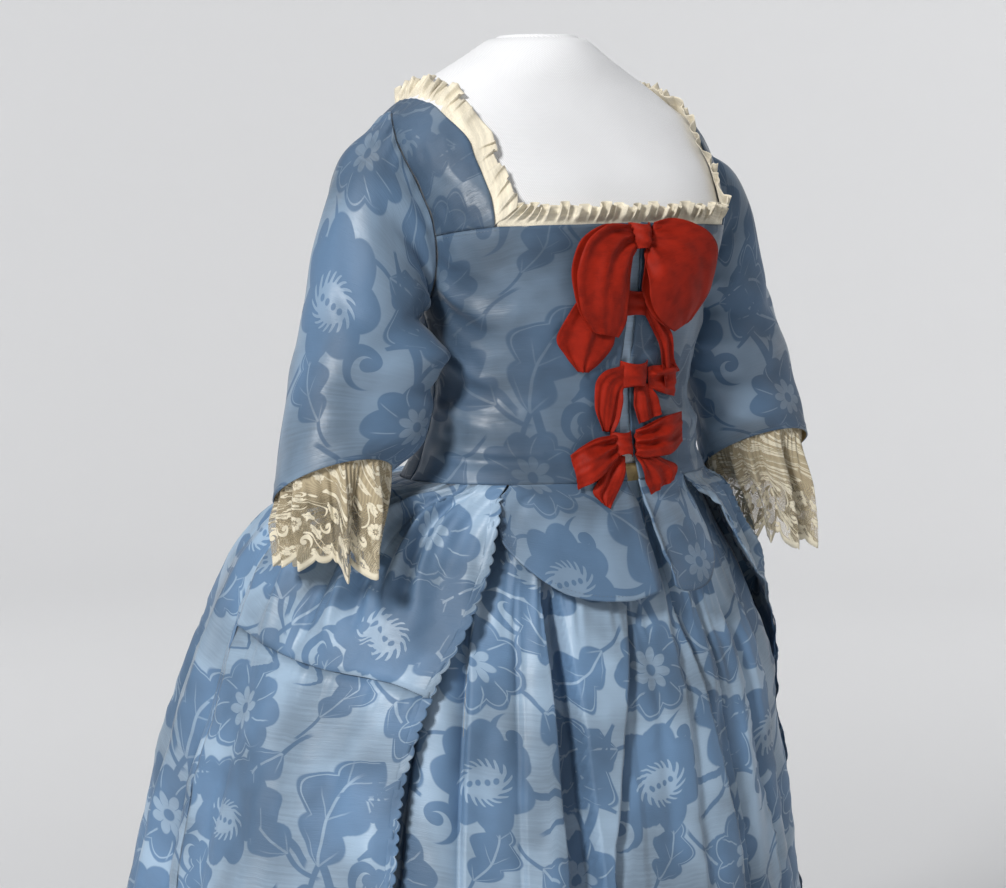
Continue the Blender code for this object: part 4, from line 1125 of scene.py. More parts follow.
def make_strip(material):
    """Strip that shows between the front edges, tucked and slightly rumpled; its pale colour is
    painted light.
    """
    u, v = grid(24, 90)
    angle = -7.0 + 17.0 * u
    height = 1.05 + 0.206 * v
    lift = -0.0024 + 0.0006 * sways(angle * FRONT_SCALE, height, 0.016, 21)
    points = gown_points(angle, height, lift)
    item = cloth("centre_strip", points, material, thickness=0.0009)
    wear(item, "stomacher_strip", "pale_silk", "stretched", ["form_torso"], points)


def shoulder_share(neck):
    """Where along the neckline the strap ends behind the shoulder."""
    shares = np.linspace(0.0, 1.0, 401)
    return float(shares[np.argmax(neck(shares)[:, 0] >= STRAP_END)])


def make_strap(label, side, material):
    """Shoulder strap between the neckline and the armhole."""
    neck = trail(NECK_CURVE)
    neck_edge = part_of(neck, 0.0, shoulder_share(neck))
    arm_edge = armhole_arc(STRAP_TURN, BACK_STRAP_TURN - 360.0)
    area = patch(straight(neck_edge(0.0), arm_edge(0.0)),
                 straight(neck_edge(1.0), arm_edge(1.0)), neck_edge, arm_edge)
    angle, height = area(*grid(84, 26))
    lift = 0.0006 * sways(angle * FRONT_SCALE, height, 0.02, 31 + side)
    points = outward(gown_points(side * angle, height, lift), -side)
    uv = unroll(points)
    points = press_seams(points, uv, ("start", "end", "high"))
    item = cloth("shoulder_strap_" + label, points, material, uv[..., ::-1] * (1.0, -1.0),
                 (0.07, 0.11))
    wear(item, "strap_" + label, "damask", "stretched", ["form_torso"], points)


def back_seam():
    """Path of the seam between a side back and its centre back, from the waist up."""
    return trail(((BACK_SEAM_WAIST, WAIST), (156.0, 1.1), (146.0, 1.22),
                  tuple(armhole(BACK_SEAM_TURN))))


def make_back(label, side, material):
    """Side back and centre back."""
    neck = trail(NECK_CURVE)
    shoulder = shoulder_share(neck)
    start, hip, end = (SIDE_ANGLE, WAIST), (BACK_SEAM_WAIST, WAIST), (180.0, WAIST)
    seam = back_seam()
    beside = patch(straight(start, armhole(180.0)), seam, straight(start, hip),
                   armhole_arc(180.0, BACK_SEAM_TURN))
    left = joined(seam, armhole_arc(BACK_SEAM_TURN, BACK_STRAP_TURN), 6 / 8)
    top = joined(straight(armhole(BACK_STRAP_TURN), neck(shoulder)), part_of(neck, shoulder, 1.0),
                 4 / 10)
    centre = straight(end, (180.0, float(neck(1.0)[1])))
    middle = patch(left, centre, straight(hip, end), top)
    for kind, area, seed in (("side_", beside, 41), ("centre_", middle, 51)):
        angle, height = area(*grid(44, 60))
        angle[0] += SEAM_ANGLE
        angle[-1] -= SEAM_ANGLE
        lift = 0.0007 * sways(angle * FRONT_SCALE, height, 0.035, seed + side)
        points = outward(gown_points(side * angle, height, lift), side)
        uv = unroll(points, 0.5, 0.0)
        points = press_seams(points, uv, ("start", "end", "low"))
        item = cloth("back_panel_" + kind + label, points, material, uv,
                     (0.03 + 0.061 * side, 0.02))
        wear(item, "back_" + kind + label, "damask", "stretched", ["form_torso"], points)


def sleeve_ring(step, turn, inset=0.0):
    """Points of a left sleeve's ring 0 to 4; ring 0 is the armhole. Turn 90 is the front."""
    if step == 0:
        spots = armhole(turn)
        return gown_points(spots[..., 0], spots[..., 1])
    x, y, z, half_width, half_depth, tilt, front_rise = SLEEVE_RINGS[step - 1]
    angle = np.radians(turn)
    out = np.cos(angle) * (half_width - inset)
    ahead = np.sin(angle) * (half_depth - inset)
    lean = math.radians(tilt)
    rise = out * math.sin(lean) + front_rise * np.sin(angle)
    return np.stack([x + out * math.cos(lean), y - ahead, z + rise], axis=-1)


def sleeve_points(along, turn, inset=0.0):
    """Points of the left sleeve, along 0 at the armhole to 1 at the hem."""
    rings = [sleeve_ring(step, turn, inset) for step in range(5)]
    rings = [rings[0], *rings, rings[-1]]
    t = np.clip(along, 0.0, 1.0) * 4.0
    total = 0.0
    for low in range(4):
        f = np.clip(t - low, 0.0, 1.0)[..., None]
        a, b, c, d = rings[low:low + 4]
        spot = (b * 2 + (c - a) * f + (a * 2 - b * 5 + c * 4 - d) * f**2
                + (b * 3 - a - c * 3 + d) * f**3) * 0.5
        inside = ((t >= low) & ((t < low + 1) | (low == 3)))[..., None]
        total = total + np.where(inside, spot, 0.0)
    return total


# Folds of the sleeves: start x, start y, end x, end y, bow, width, depth; x is the turn in
# degrees times 0.001 and y the share along the sleeve times 0.25
SLEEVE_FOLDS = (
    (0.165, 0.02, 0.06, 0.075, 0.006, 0.01, -0.0034),
    (0.172, 0.045, 0.09, 0.11, 0.006, 0.01, 0.003),
    (0.178, 0.085, 0.08, 0.14, 0.005, 0.011, -0.0036),
    (0.176, 0.13, 0.07, 0.168, 0.004, 0.011, 0.0032),
    (0.17, 0.165, 0.05, 0.195, -0.004, 0.01, -0.003),
    (0.04, 0.02, -0.01, 0.1, 0.006, 0.012, -0.0026),
    (0.02, 0.12, 0.11, 0.15, 0.006, 0.012, -0.0022),
    (-0.02, 0.06, -0.07, 0.15, 0.006, 0.014, -0.003),
    (-0.06, 0.04, -0.14, 0.1, 0.006, 0.012, 0.0026),
    (-0.165, 0.06, -0.07, 0.12, 0.005, 0.01, -0.0034),
    (-0.17, 0.1, -0.08, 0.165, 0.005, 0.011, 0.0032),
    (-0.172, 0.14, -0.06, 0.19, 0.004, 0.011, -0.0034),
)


def make_sleeve(label, side, material, lining):
    """Tapered sleeve, eased into the armhole, with folds at the elbow and slack inside."""
    u, v = grid(132, 84)
    turn = 180.0 - 360.0 * u
    x, y = turn * 0.001, v * 0.25
    points = sleeve_points(v, turn)
    lift = 2.2 * creases(x, y, SLEEVE_FOLDS) + 0.0016 * sways(x, y, 0.05, 61 + side)
    lift *= steps(0.0, 0.1, v) * steps(1.0, 0.88, v) * steps(1.0, 0.96, np.abs(2.0 * u - 1.0))
    eased = 0.0018 * (0.5 + 0.5 * np.cos(np.radians(turn) * 26.0))
    lift += eased * steps(0.16, 0.02, v) * steps(0.0, 0.02, v) * steps(120.0, 60.0, np.abs(turn))
    lift += 0.0006 * np.exp(-((v - 0.955) / 0.008) ** 2)
    points = points - grid_normals(points, True) * lift[..., None]
    inwards = np.array((-0.8, -0.6, 0.0))
    share = unit((points - points.mean(axis=0)) * (1.0, 1.0, 0.0)) @ inwards
    slack = 0.024 * np.maximum(share, 0.0) ** 2 * steps(0.35, 0.6, v) * steps(1.0, 0.86, v)
    points = outward((points + inwards * slack[..., None]) * (side, 1.0, 1.0), -side)
    around = np.linalg.norm(np.diff(points, axis=0), axis=-1).sum(axis=0).mean()
    length = np.linalg.norm(np.diff(points, axis=1), axis=-1).sum(axis=1).mean()
    turned = np.stack([(u - 0.5) * around, -v * length], axis=-1)
    item = cloth("sleeve_cloth_" + label, points, material, turned, (0.02, 0.095), closed=True,
                 lining=lining)
    wear(item, "sleeve_" + label, "damask", "stretched",
         ["form_torso", "bodice_front_" + label], points)


def skirt_reach(y, height):
    """Half width of the gown's skirt at a depth y."""
    half_width, front, back, middle, _ = GOWN(height)
    depth = np.where(y < middle, middle - front, back - middle)
    return half_width * np.sqrt(1.0 - np.minimum(np.abs(y - middle) / depth, 1.0) ** 2)


def make_lace(label, side, material):
    """Gathered lace flounce from just inside the sleeve hem to its scalloped edge."""
    u, fall = grid(390, 30)
    turn = 180.0 - 360.0 * u
    angle = np.radians(turn)
    top = sleeve_points(np.full_like(u, 0.955), turn, SILK + 0.0011)
    centre_x, centre_y, _, half_width = SLEEVE_RINGS[-1][:4]
    spread = top - (centre_x, centre_y, 0.0)
    spread[..., 2] = 0.0
    spread = unit(spread)
    uneven = angle + 0.16 * np.sin(2.0 * angle + 1.0) + 0.08 * np.sin(5.0 * angle)
    wave = np.cos(uneven * LACE_WAVES) + 0.34 * np.cos(uneven * 2 * LACE_WAVES + 1.1)
    wave = wave + 0.16 * np.cos(uneven * 3 * LACE_WAVES + 2.0)
    inner = steps(0.2, 0.8, -np.cos(angle))
    depth = 1.35 * LACE_WAVE_DEPTH * steps(0.0, 0.55, fall) * (1.0 - 0.62 * inner) + 0.0012
    scallop = np.abs(np.sin(angle * 12.0 + 0.7 * np.sin(angle * 5.0))) ** 0.7
    bottom = LACE_BOTTOM - 0.009 * side + 0.006 * np.cos(2.0 * angle)
    bottom -= 0.006 * wave + 0.005 * scallop
    point = top + spread * (LACE_FLARE * fall - 0.0014 * (1.0 - fall))[..., None]
    point[..., 2] = top[..., 2] + (bottom - top[..., 2]) * fall
    share = (centre_x + half_width - point[..., 0]) / (2.0 * half_width)
    point[..., 0] += LACE_SWAY * share * steps(0.0, 1.0, fall)
    fine = 0.0009 * np.cos(uneven * 6 * LACE_WAVES) * steps(1.0, 0.4, fall)
    point += spread * (wave * depth + fine)[..., None]
    point[..., 0] -= 0.006 * fall
    point[..., 1] -= (0.011 - 0.007 * side) * steps(0.0, 1.0, fall)
    reach = skirt_reach(point[..., 1], point[..., 2]) + LACE_CLEAR
    point[..., 0] = np.maximum(point[..., 0], reach)
    point = outward(point * (side, 1.0, 1.0), -side)
    uv = unroll(point, 0.0, 1.0)
    uv = np.stack([uv[..., 0], np.abs(uv[..., 1])], axis=-1)
    item = cloth("lace_" + label, point, material, uv, thickness=0.0005, closed=True)
    wear(item, "lace_flounce_" + label, "lace", "gathered", ["sleeve_" + label], point)


RUFFLE_TUCK = 0.0021


def ruffle_points(base, u, v, lean_start, lean_end, side, waves, low, high, seed):
    """Strip from just under a neck edge, pleated unevenly outwards, low at first and then high."""
    start = gown_points(*base(u))
    ahead = unit(gown_points(*base(u + 0.006)) - gown_points(*base(u - 0.006)))
    point = gown_points(*base(u), -RUFFLE_TUCK)
    outwards = unit(start - point)
    up = np.cross(outwards, ahead) * side
    lean = (lean_start * (1.0 - steps(0.0, 0.2, u)) + lean_end * steps(0.8, 1.0, u))[..., None]
    free = steps(0.08, 0.6, v)
    dice = np.random.RandomState(seed)
    shift = sum(dice.uniform(0.15, 0.5) * np.sin(math.tau * u * k + dice.uniform(0, 6.0))
                for k in (3.0, 7.0, 11.0))
    phase = math.tau * waves * u + shift * 2.2
    pleat = 0.5 - 0.5 * np.cos(phase)
    fold = np.sin(phase + 0.9 * np.sin(phase))
    tall = 1.0 + 0.1 * np.sin(phase * 0.5 + 1.0) + 0.08 * np.sin(37.0 * u)
    tall = (tall + 0.05 * np.cos(phase)) * (low + (high - low) * steps(0.1, 0.5, u))
    rise = tall * v - 0.0025 * (1.0 - v)
    uneven = 1.0 + 0.35 * np.sin(phase * 0.37 + seed)
    out = (0.0014 + 0.0034 * v + 0.006 * pleat * uneven) * v**0.7
    out = (out + 0.001 * np.cos(phase * 2.0 + u * 40.0) * v) * free
    slide = 0.0034 * fold * free * v**0.6
    return (point + up * rise[..., None] + ahead * (lean * np.maximum(rise, 0.0)[..., None])
            + outwards * out[..., None] + ahead * slide[..., None])


def make_ruffles(material):
    """Ruffle in four strips: up each shoulder, across the front and round the back."""
    neck = trail(NECK_CURVE)
    strips = []
    for label, side in SIDES:
        def base(t, side=side):
            spots = neck(0.004 + 0.806 * t)
            return side * spots[..., 0], spots[..., 1]
        strips.append((label, base, 1.0, -0.6, side, 22, 0.019, 0.028))

    def front(t):
        reach = CORNER_ANGLE - 1.0
        return -reach + 2 * reach * t, NECK_FRONT - 0.001 + 0.0 * t
    strips.append(("front", front, 1.0, -1.0, 1, 28, 0.0175, 0.0175))

    def back(t):
        spots = neck(1.0 - 0.175 * np.abs(2.0 * t - 1.0))
        return np.where(t <= 0.5, spots[..., 0], 360.0 - spots[..., 0]), spots[..., 1]
    strips.append(("back", back, 0.3, -0.3, 1, 20, 0.0215, 0.0215))

    for seed, (label, base, lean_start, lean_end, side, waves, *tall) in enumerate(strips):
        u, v = grid(waves * 16, 14)
        points = ruffle_points(base, u, v, lean_start, lean_end, side, waves, *tall, 70 + seed)
        points = outward(points, side)
        item = cloth("ruffle_" + label, points, material, thickness=0.0004)
        wear(item, "neck_ruffle_" + label, "ruffle", "gathered", ["form_torso"], points)


def skirt_heights(low, high, fine_from=0.84, coarse=0.016, fine=0.006):
    """Heights of a skirt's rows, closer together near the waist."""
    rows = []
    if low < fine_from:
        stop = min(fine_from, high)
        rows += list(np.linspace(low, stop, max(int((stop - low) / coarse), 2), endpoint=False))
    start = max(low, fine_from)
    if high > start:
        rows += list(np.linspace(start, high, max(int((high - start) / fine), 3)))
    else:
        rows.append(high)
    return np.array(rows)


def fullness(height):
    """Share of the pleats' depth: none at the band, full from the thighs down."""
    return steps(WAIST + 0.012, 0.84, height)


def petticoat_lift(angle, height):
    """How far the petticoat lies under the gown's form."""
    tucked = steps(1.014, 1.034, height)
    under = 0.011 * (1 - tucked) + 0.0034 * tucked
    covered = np.where(angle < 0, steps(38.0, 62.0, -angle), steps(52.0, 80.0, angle))
    low = steps(0.9, 0.8, height)
    under = under + low * (0.006 * covered - 0.008 * (1 - covered))
    return -under - covered * 0.004 * steps(1.0, 0.94, height)


PLEATS = Table(FRONT_PLEATS, 3000)

# Creases of the petticoat's front: x is the angle times SKIRT_SCALE, y the height
SKIRT_SCALE = 0.0056
PETTICOAT_CREASES = (
    (-0.15, 0.9, -0.17, 0.7, 0.006, 0.012, -0.004),
    (-0.195, 0.86, -0.205, 0.6, -0.006, 0.014, 0.0036),
    (-0.12, 0.78, -0.13, 0.56, 0.006, 0.012, 0.0034),
    (0.0, 0.88, 0.006, 0.64, 0.004, 0.009, -0.003),
    (0.055, 0.9, 0.06, 0.6, -0.005, 0.01, -0.0034),
    (0.125, 0.89, 0.13, 0.69, 0.006, 0.009, -0.004),
    (0.175, 0.9, 0.19, 0.66, 0.006, 0.01, 0.004),
    (0.215, 0.88, 0.235, 0.64, 0.004, 0.01, -0.004),
    (-0.06, 0.52, -0.05, 0.2, 0.008, 0.016, -0.004),
    (0.08, 0.56, 0.1, 0.18, -0.008, 0.016, 0.004),
)


# Pleat edges of the petticoat's front, upper and lower end: angle, height, angle, height, run in
# degrees, depth, and the side that lies under: 0 for a groove with the run to each side
PLEAT_EDGES = (
    (-20.6, 0.914, -16.2, 0.66, 2.5, 0.034, 0),
    (-2.4, 0.908, -11.0, 0.66, 4.5, 0.017, 1),
    (9.6, 0.902, 18.2, 0.64, 4.0, 0.019, 1),
    (17.0, 0.9, 22.5, 0.64, 2.6, 0.012, 1),
    (25.5, 0.9, 33.0, 0.64, 3.5, 0.014, 1),
    (35.0, 0.9, 43.0, 0.62, 3.5, 0.013, 1),
    (-28.0, 0.9, -26.5, 0.64, 2.4, 0.008, -1),
    (-37.6, 0.88, -37.2, 0.64, 3.2, 0.02, -1),
    (-45.5, 0.9, -48.0, 0.64, 3.6, 0.014, -1),
)


def pleat_edges(angle, height):
    """Sharp drops beside the pleats' edges, easing back to the cloth."""
    total = np.zeros(angle.shape)
    for a0, z0, a1, z1, run, depth, under in PLEAT_EDGES:
        share = (z0 - height) / (z0 - z1)
        off = angle - a0 - (a1 - a0) * np.clip(share, 0.0, 1.0) ** 0.8
        open_run = run * (0.75 + 0.35 * np.clip(share, 0.0, 1.5))
        if under == 0:
            hollow = steps(-open_run - 0.35, -open_run + 0.35, off)
            hollow *= steps(open_run + 0.35, open_run - 0.35, off)
        else:
            off = off * under
            hollow = steps(-0.2, 0.4, off) * np.exp(-np.maximum(off, 0.0) / open_run)
        total += depth * hollow * steps(-0.22, 0.1, share) * (1.0 - 0.5 * steps(1.6, 3.0, share))
    return total


def front_columns():
    """Angles of the front breadth's columns, closest together over the pleats in view."""
    return np.concatenate([np.arange(-57.9, -50.0, 1.0), np.arange(-50.0, -26.0, 0.45),
                           np.arange(-26.0, 26.0, 0.26), np.arange(26.0, 46.0, 0.6),
                           np.linspace(46.0, 75.9, 26)])


# Breadths of the petticoat: label, first and last angle, columns, height of a row
FRONT_FIRST, FRONT_LAST = FRONT_PLEATS[0][0], FRONT_PLEATS[-1][0]
BREADTHS = (("front", FRONT_FIRST, FRONT_LAST, 0, 0.0105),
            ("left", FRONT_LAST, 136.0, 60, 0.018),
            ("back", 136.0, 226.0, 90, 0.018),
            ("right", 226.0, FRONT_FIRST + 360.0, 72, 0.018))
PETTICOAT_PATTERN = (-0.0061, 0.249)


def petticoat_wave(angle, height):
    """Depth of the pleats: as in view on the front breadth, even on the others."""
    sway = 1.2 * np.sin(height * 5.0 + 0.6) * steps(0.95, 0.5, height)
    swung = angle + sway * steps(76.0, 60.0, angle) * steps(-58.0, -48.0, angle)
    shown = PLEATS(np.clip(swung, FRONT_FIRST, FRONT_LAST))[0]
    away = angle - np.where(angle > 0, FRONT_LAST, FRONT_FIRST)
    plain = 0.003 * (1.0 - np.cos(math.tau * away / 15.0))
    plain += 0.006 * np.cos(math.pi * away / 30.0) ** 2 * (angle > 0)
    return np.where((angle >= FRONT_FIRST) & (angle <= FRONT_LAST), shown, plain)


def make_petticoat(material, lining):
    """Four breadths hung from a waistband, the front one pleated as in view."""
    for seed, (label, first, last, columns, coarse) in enumerate(BREADTHS):
        heights = skirt_heights(HEM, BAND_TOP, coarse=coarse)
        front = label == "front"
        spots = (front_columns() if front
                 else np.linspace(first + SEAM_ANGLE, last - SEAM_ANGLE, columns + 1))
        angle, height = np.meshgrid(spots, heights, indexing="ij")
        angle = np.where(angle > 180.0, angle - 360.0, angle)
        x = angle * SKIRT_SCALE
        lift = petticoat_lift(angle, height) - petticoat_wave(angle, height) * fullness(height)
        lift += 0.0024 * sways(x, height * 0.5, 0.06, 81 + seed) * steps(0.99, 0.9, height)
        lift += 0.001 * sways(x, height, 0.024, 85 + seed) * steps(0.93, 0.84, height)
        sharp = 0.0
        if front:
            lift += creases(x, height, PETTICOAT_CREASES)
            tight = np.sin(angle * 1.9 + 2.2 * np.sin(angle * 0.31) + 1.2 * np.sin(angle * 0.83))
            lift += 0.0011 * tight * steps(1.025, 0.985, height) * steps(0.84, 0.93, height)
            sharp = pleat_edges(angle, height)
        points = gown_points(angle, height, lift - sharp)
        uv = unroll(gown_points(angle, height, lift - 0.5 * sharp), 0.5, 1.0)
        if front:
            uv[..., 0] -= uv[np.argmin(np.abs(spots)), :, 0]
        item = cloth("petticoat_breadth_" + label, points, material, uv,
                     PETTICOAT_PATTERN if front else (0.03 * seed, 0.0), lining=lining,
                     band=int(np.sum(heights < BAND_BOTTOM)))
        wear(item, "petticoat_" + label, "damask", "gathered", ["form_torso"], points)


def overskirt_wave(own_angle, height):
    """Pleats of the overskirt, flat near its front edge and full at the back."""
    rear = steps(80.0, 125.0, own_angle)
    gathers = 0.006 * steps(WAIST, 0.99, height) * steps(0.86, 0.97, height)
    flutes = 0.003 + 0.011 * rear
    flutes = flutes * steps(1.0, 0.75, height) * (1.0 + 0.5 * steps(0.6, 0.02, height))
    turn = (180.0 - own_angle) / 14.3
    wave = (gathers + flutes) * (0.5 + 0.5 * np.cos(math.tau * turn))
    small = 0.0024 * steps(WAIST, 1.005, height) * steps(0.9, 0.985, height)
    uneven = own_angle + 1.2 * np.sin(own_angle * 0.37)
    return wave + small * (0.5 + 0.5 * np.cos(math.tau * uneven / 4.1))


# Creases of the overskirt: x is the own-side angle times SKIRT_SCALE, y the height
OVERSKIRT_CREASES = (
    (0.292, 1.01, 0.285, 0.9, 0.006, 0.008, -0.0075),
    (0.316, 1.012, 0.312, 0.9, -0.004, 0.007, 0.008),
    (0.338, 1.012, 0.345, 0.89, 0.005, 0.007, -0.008),
    (0.366, 1.01, 0.38, 0.87, -0.004, 0.008, 0.0066),
    (0.395, 1.01, 0.42, 0.86, -0.005, 0.008, -0.007),
    (0.44, 1.0, 0.47, 0.86, 0.006, 0.01, 0.005),
    (0.545, 0.96, 0.56, 0.3, 0.01, 0.014, -0.007),
    (0.59, 0.94, 0.61, 0.35, -0.008, 0.016, 0.006),
    (0.33, 0.8, 0.36, 0.56, 0.012, 0.018, -0.0036),
    (0.42, 0.78, 0.45, 0.52, -0.01, 0.02, 0.004),
    (0.48, 0.8, 0.5, 0.45, 0.01, 0.018, -0.004),
    (0.3, 0.64, 0.32, 0.38, -0.006, 0.016, 0.0034),
    (0.29, 0.76, 0.4, 0.735, 0.006, 0.012, -0.0022),
)


def skirt_edge(side):
    """Own-side angle of the overskirt's front edge, by height."""
    return Table(RIGHT_SKIRT_EDGE if side < 0 else LEFT_SKIRT_EDGE, 2000)


def overskirt_lift(own_angle, height, side):
    """How far the overskirt stands off the gown's form: pleats, creases and soft hills."""
    x = own_angle * SKIRT_SCALE
    lift = overskirt_wave(own_angle, height) + 1.5 * creases(x, height, OVERSKIRT_CREASES)
    lift = lift + 0.0045 * steps(WAIST, 0.98, height)
    lift = lift + 0.0028 * sways(x, height * 0.6, 0.07, 91 + side) * steps(1.0, 0.93, height)
    lift = lift + 0.0011 * sways(x, height, 0.026, 95 + side) * steps(0.98, 0.88, height)
    return np.maximum(lift, -0.0015)


def make_overskirt_front(side, material, name, node, low, high, split, offset):
    """Front breadth between two lines, each giving a height for a share across."""
    edge = skirt_edge(side)
    heights = skirt_heights(*split, coarse=0.011)
    rows = (heights - heights[0]) / (heights[-1] - heights[0])
    u, v = np.meshgrid(np.linspace(0.0, 1.0, 91), rows, indexing="ij")
    height = low(u) + (high(u) - low(u)) * v
    first = edge(height)[0]
    angle = first + (PIECING_ANGLE - SKIRT_SEAM_ANGLE - first) * u
    lift = overskirt_lift(angle, height, side)
    if node == "overskirt_right_lower":
        away = high(u) - height
        pucker = np.cos(math.tau * (u * 31.0 + 0.4 * np.sin(u * 40.0)))
        lift = lift + 0.0022 * pucker * np.exp(-(away / 0.014) ** 2) * steps(0.0, 0.003, away)
        lift = lift - 0.0016 * np.exp(-(away / 0.0035) ** 2)
    if node == "overskirt_right_upper":
        away = height - low(u)
        lift = lift + 0.0008 * np.exp(-(away / 0.006) ** 2)
    ripple = np.sin(height * 190.0 + 3.0 * np.sin(height * 31.0))
    lift = lift + 0.0012 * ripple * steps(0.06, 0.0, u)
    points = outward(gown_points(side * angle, height, lift), side)
    uv = unroll(points, own_start(side), 1.0)
    if node == "overskirt_right_lower":
        uv[..., 1] += (points[..., 2] - WAIST)[:, -1:] * SKIRT_SLANT
    item = cloth(name, points, material, uv, offset)
    border = make_pinking(side, material, name, low(0.0), min(high(0.0), PINKING_TOP), offset)
    wear(join(item, border), node, "damask", "hung", ["form_torso", "petticoat_front"], points)


def make_pinking(side, material, name, bottom, top, offset):
    """Scalloped, slightly wavy cut edge along the overskirt's front."""
    u, v = grid(6, int((top - bottom) / 0.0014))
    height = bottom + (top - bottom) * v
    radius = GOWN(height)[0] * math.pi / 180.0
    uneven = height + 0.002 * np.sin(height * 61.0) + 0.001 * np.sin(height * 173.0)
    scallop = np.abs(np.sin(math.pi * uneven / 0.0115)) ** 0.7
    reach = 0.0015 + 0.004 * scallop
    aside = 0.006 - (0.006 + reach) * u
    flutter = 0.0012 * np.sin(height * 120.0 + 2.0 * np.sin(height * 23.0)) * u
    angle = skirt_edge(side)(height)[0] + aside / radius
    lift = overskirt_lift(angle, height, side) + 0.0006 + 0.0004 * u + flutter
    points = gown_points(side * angle, height, lift)
    rise = unroll(points, 0.0, 1.0)[..., 1] + (top - WAIST) * SKIRT_SLANT
    uv = np.stack([side * aside, rise], axis=-1)
    return cloth(name + "_edge", outward(points, -side), material, outward(uv, -side), offset,
                 thickness=0.0007)


def make_overskirt_back(label, side, material):
    """Pleated back breadth, from the piecing seam to the centre back."""
    heights = skirt_heights(HEM, SKIRT_TOP, coarse=0.015)
    columns = np.linspace(PIECING_ANGLE + SKIRT_SEAM_ANGLE, 180.0 - SKIRT_SEAM_ANGLE, 119)
    angle, height = np.meshgrid(columns, heights, indexing="ij")
    points = outward(gown_points(side * angle, height, overskirt_lift(angle, height, side)), side)
    uv = unroll(points, own_start(side), 1.0)
    item = cloth("overskirt_breadth_back_" + label, points, material, uv, (0.05, 0.1))
    wear(item, "overskirt_" + label + "_back", "damask", "gathered",
         ["form_torso", "petticoat_back"], points)


def make_overskirt(material):
    """Open skirt: the pieced near front, the far front and the two backs."""
    seam = trail(PIECING_SEAM)

    def piecing(shift):
        return lambda u: seam(u)[..., 1] + shift

    def level(height):
        return lambda u: height + 0.0 * u
    make_overskirt_front(-1, material, "overskirt_upper_right", "overskirt_right_upper",
                         piecing(0.0002), level(SKIRT_TOP), (0.86, SKIRT_TOP), (0.17, 0.315))
    make_overskirt_front(-1, material, "overskirt_lower_right", "overskirt_right_lower",
                         level(HEM), piecing(-0.0002), (HEM, 0.84), (0.075, 0.07))
    make_overskirt_front(1, material, "overskirt_breadth_front_left", "overskirt_left_front",
                         level(HEM), level(SKIRT_TOP), (HEM, SKIRT_TOP), (0.04, 0.05))
    for label, side in SIDES:
        make_overskirt_back(label, side, material)


def chest_points(x, height, lift):
    """Points over the bodice front at distances x from the centre, kept just clear of it."""
    def face(x, height):
        half_width, front, _, middle, squareness = GOWN(height)
        share = 1.0 - np.minimum(np.abs(x / half_width), 0.98) ** squareness
        return np.stack([x, middle - (middle - front) * share ** (1.0 / squareness),
                         height + 0.0 * x], axis=-1)
    along = face(x + 0.001, height) - face(x - 0.001, height)
    up = face(x, height + 0.001) - face(x, height - 0.001)
    lift = np.maximum(lift, RIBBON_LOW)[..., None]
    return face(x, height) + unit(np.cross(along, up)) * lift


def ribbon_ripple(u, v, seed):
    """Fine lengthwise creases and a soft curl of a silk ribbon's edges, in metres."""
    dice = np.random.RandomState(seed)
    total = 0.0
    for k in (2.0, 3.0, 5.0):
        size = dice.uniform(0.5, 1.0) / k
        total = total + size * np.cos(math.tau * k * v + dice.uniform(0, 6) + 2.2 * u)
    return 0.0024 * total


def loop_points(rows, seed):
    """Ribbon loop: out from the knot over the front, round its end and back underneath."""
    u, v = grid(84, 30)
    turn = math.pi * (0.02 + 0.96 * u)
    reach = np.sin(turn)
    first_x, first_z, last_x, last_z, lift = Table(rows, 300)(reach)
    upper = np.maximum(np.cos(turn), 0.0) ** 0.5
    edge = 2.0 * v - 1.0
    free = steps(0.0, 0.45, reach)
    height = 0.8 * lift * (1.0 + 0.62 * np.cos(turn) * free)
    height = height - 0.26 * lift * edge**2 * upper * free
    gather = np.cos(5.2 * math.pi * v + 0.7 * seed) * steps(0.85, 0.05, reach)
    height = height + 0.0034 * gather * upper * steps(0.0, 0.12, reach)
    height = height + ribbon_ripple(reach, v, seed) * upper * free
    dent = 0.0024 * sways(reach * 0.09, v * 0.05, 0.04, 200 + seed)
    height = height + dent * upper * free
    return chest_points(first_x + (last_x - first_x) * v, first_z + (last_z - first_z) * v,
                        height)


def tail_points(rows, seed):
    """Ribbon tail that lies loosely over the front to its cut end."""
    u, v = grid(48, 26)
    first_x, first_z, last_x, last_z, lift = Table(rows, 300)(u)
    free = steps(0.0, 0.3, u)
    fold = 0.0018 * np.cos(3.2 * math.pi * v + 0.5 * seed) * (1.0 - 0.6 * u)
    height = 0.75 * lift + (fold + ribbon_ripple(u, v, seed)) * free
    height = height + 0.0014 * sways(u * 0.07, v * 0.04, 0.035, 220 + seed) * free
    return chest_points(first_x + (last_x - first_x) * v, first_z + (last_z - first_z) * v,
                        height)


def knot_points(x, z, half_width, half_height, lift, seed):
    """Ribbon drawn over the middle of a bow, with fine folds across it."""
    u, v = grid(36, 28)
    swell = np.sin(math.pi * u) ** 0.62 * (0.78 + 0.22 * np.sin(math.pi * v))
    pinch = 1.0 - 0.16 * np.sin(math.pi * u) * (2.0 * v - 1.0) ** 2
    fold = 0.0009 * np.cos(math.tau * (2.4 * v + 0.35 * u + seed * 0.3))
    height = KNOT_SEAT + (lift - KNOT_SEAT) * swell + fold * np.sin(math.pi * u)
    return chest_points(x + half_width * (2 * u - 1), z + half_height * (2 * v - 1) * pinch,
                        height)


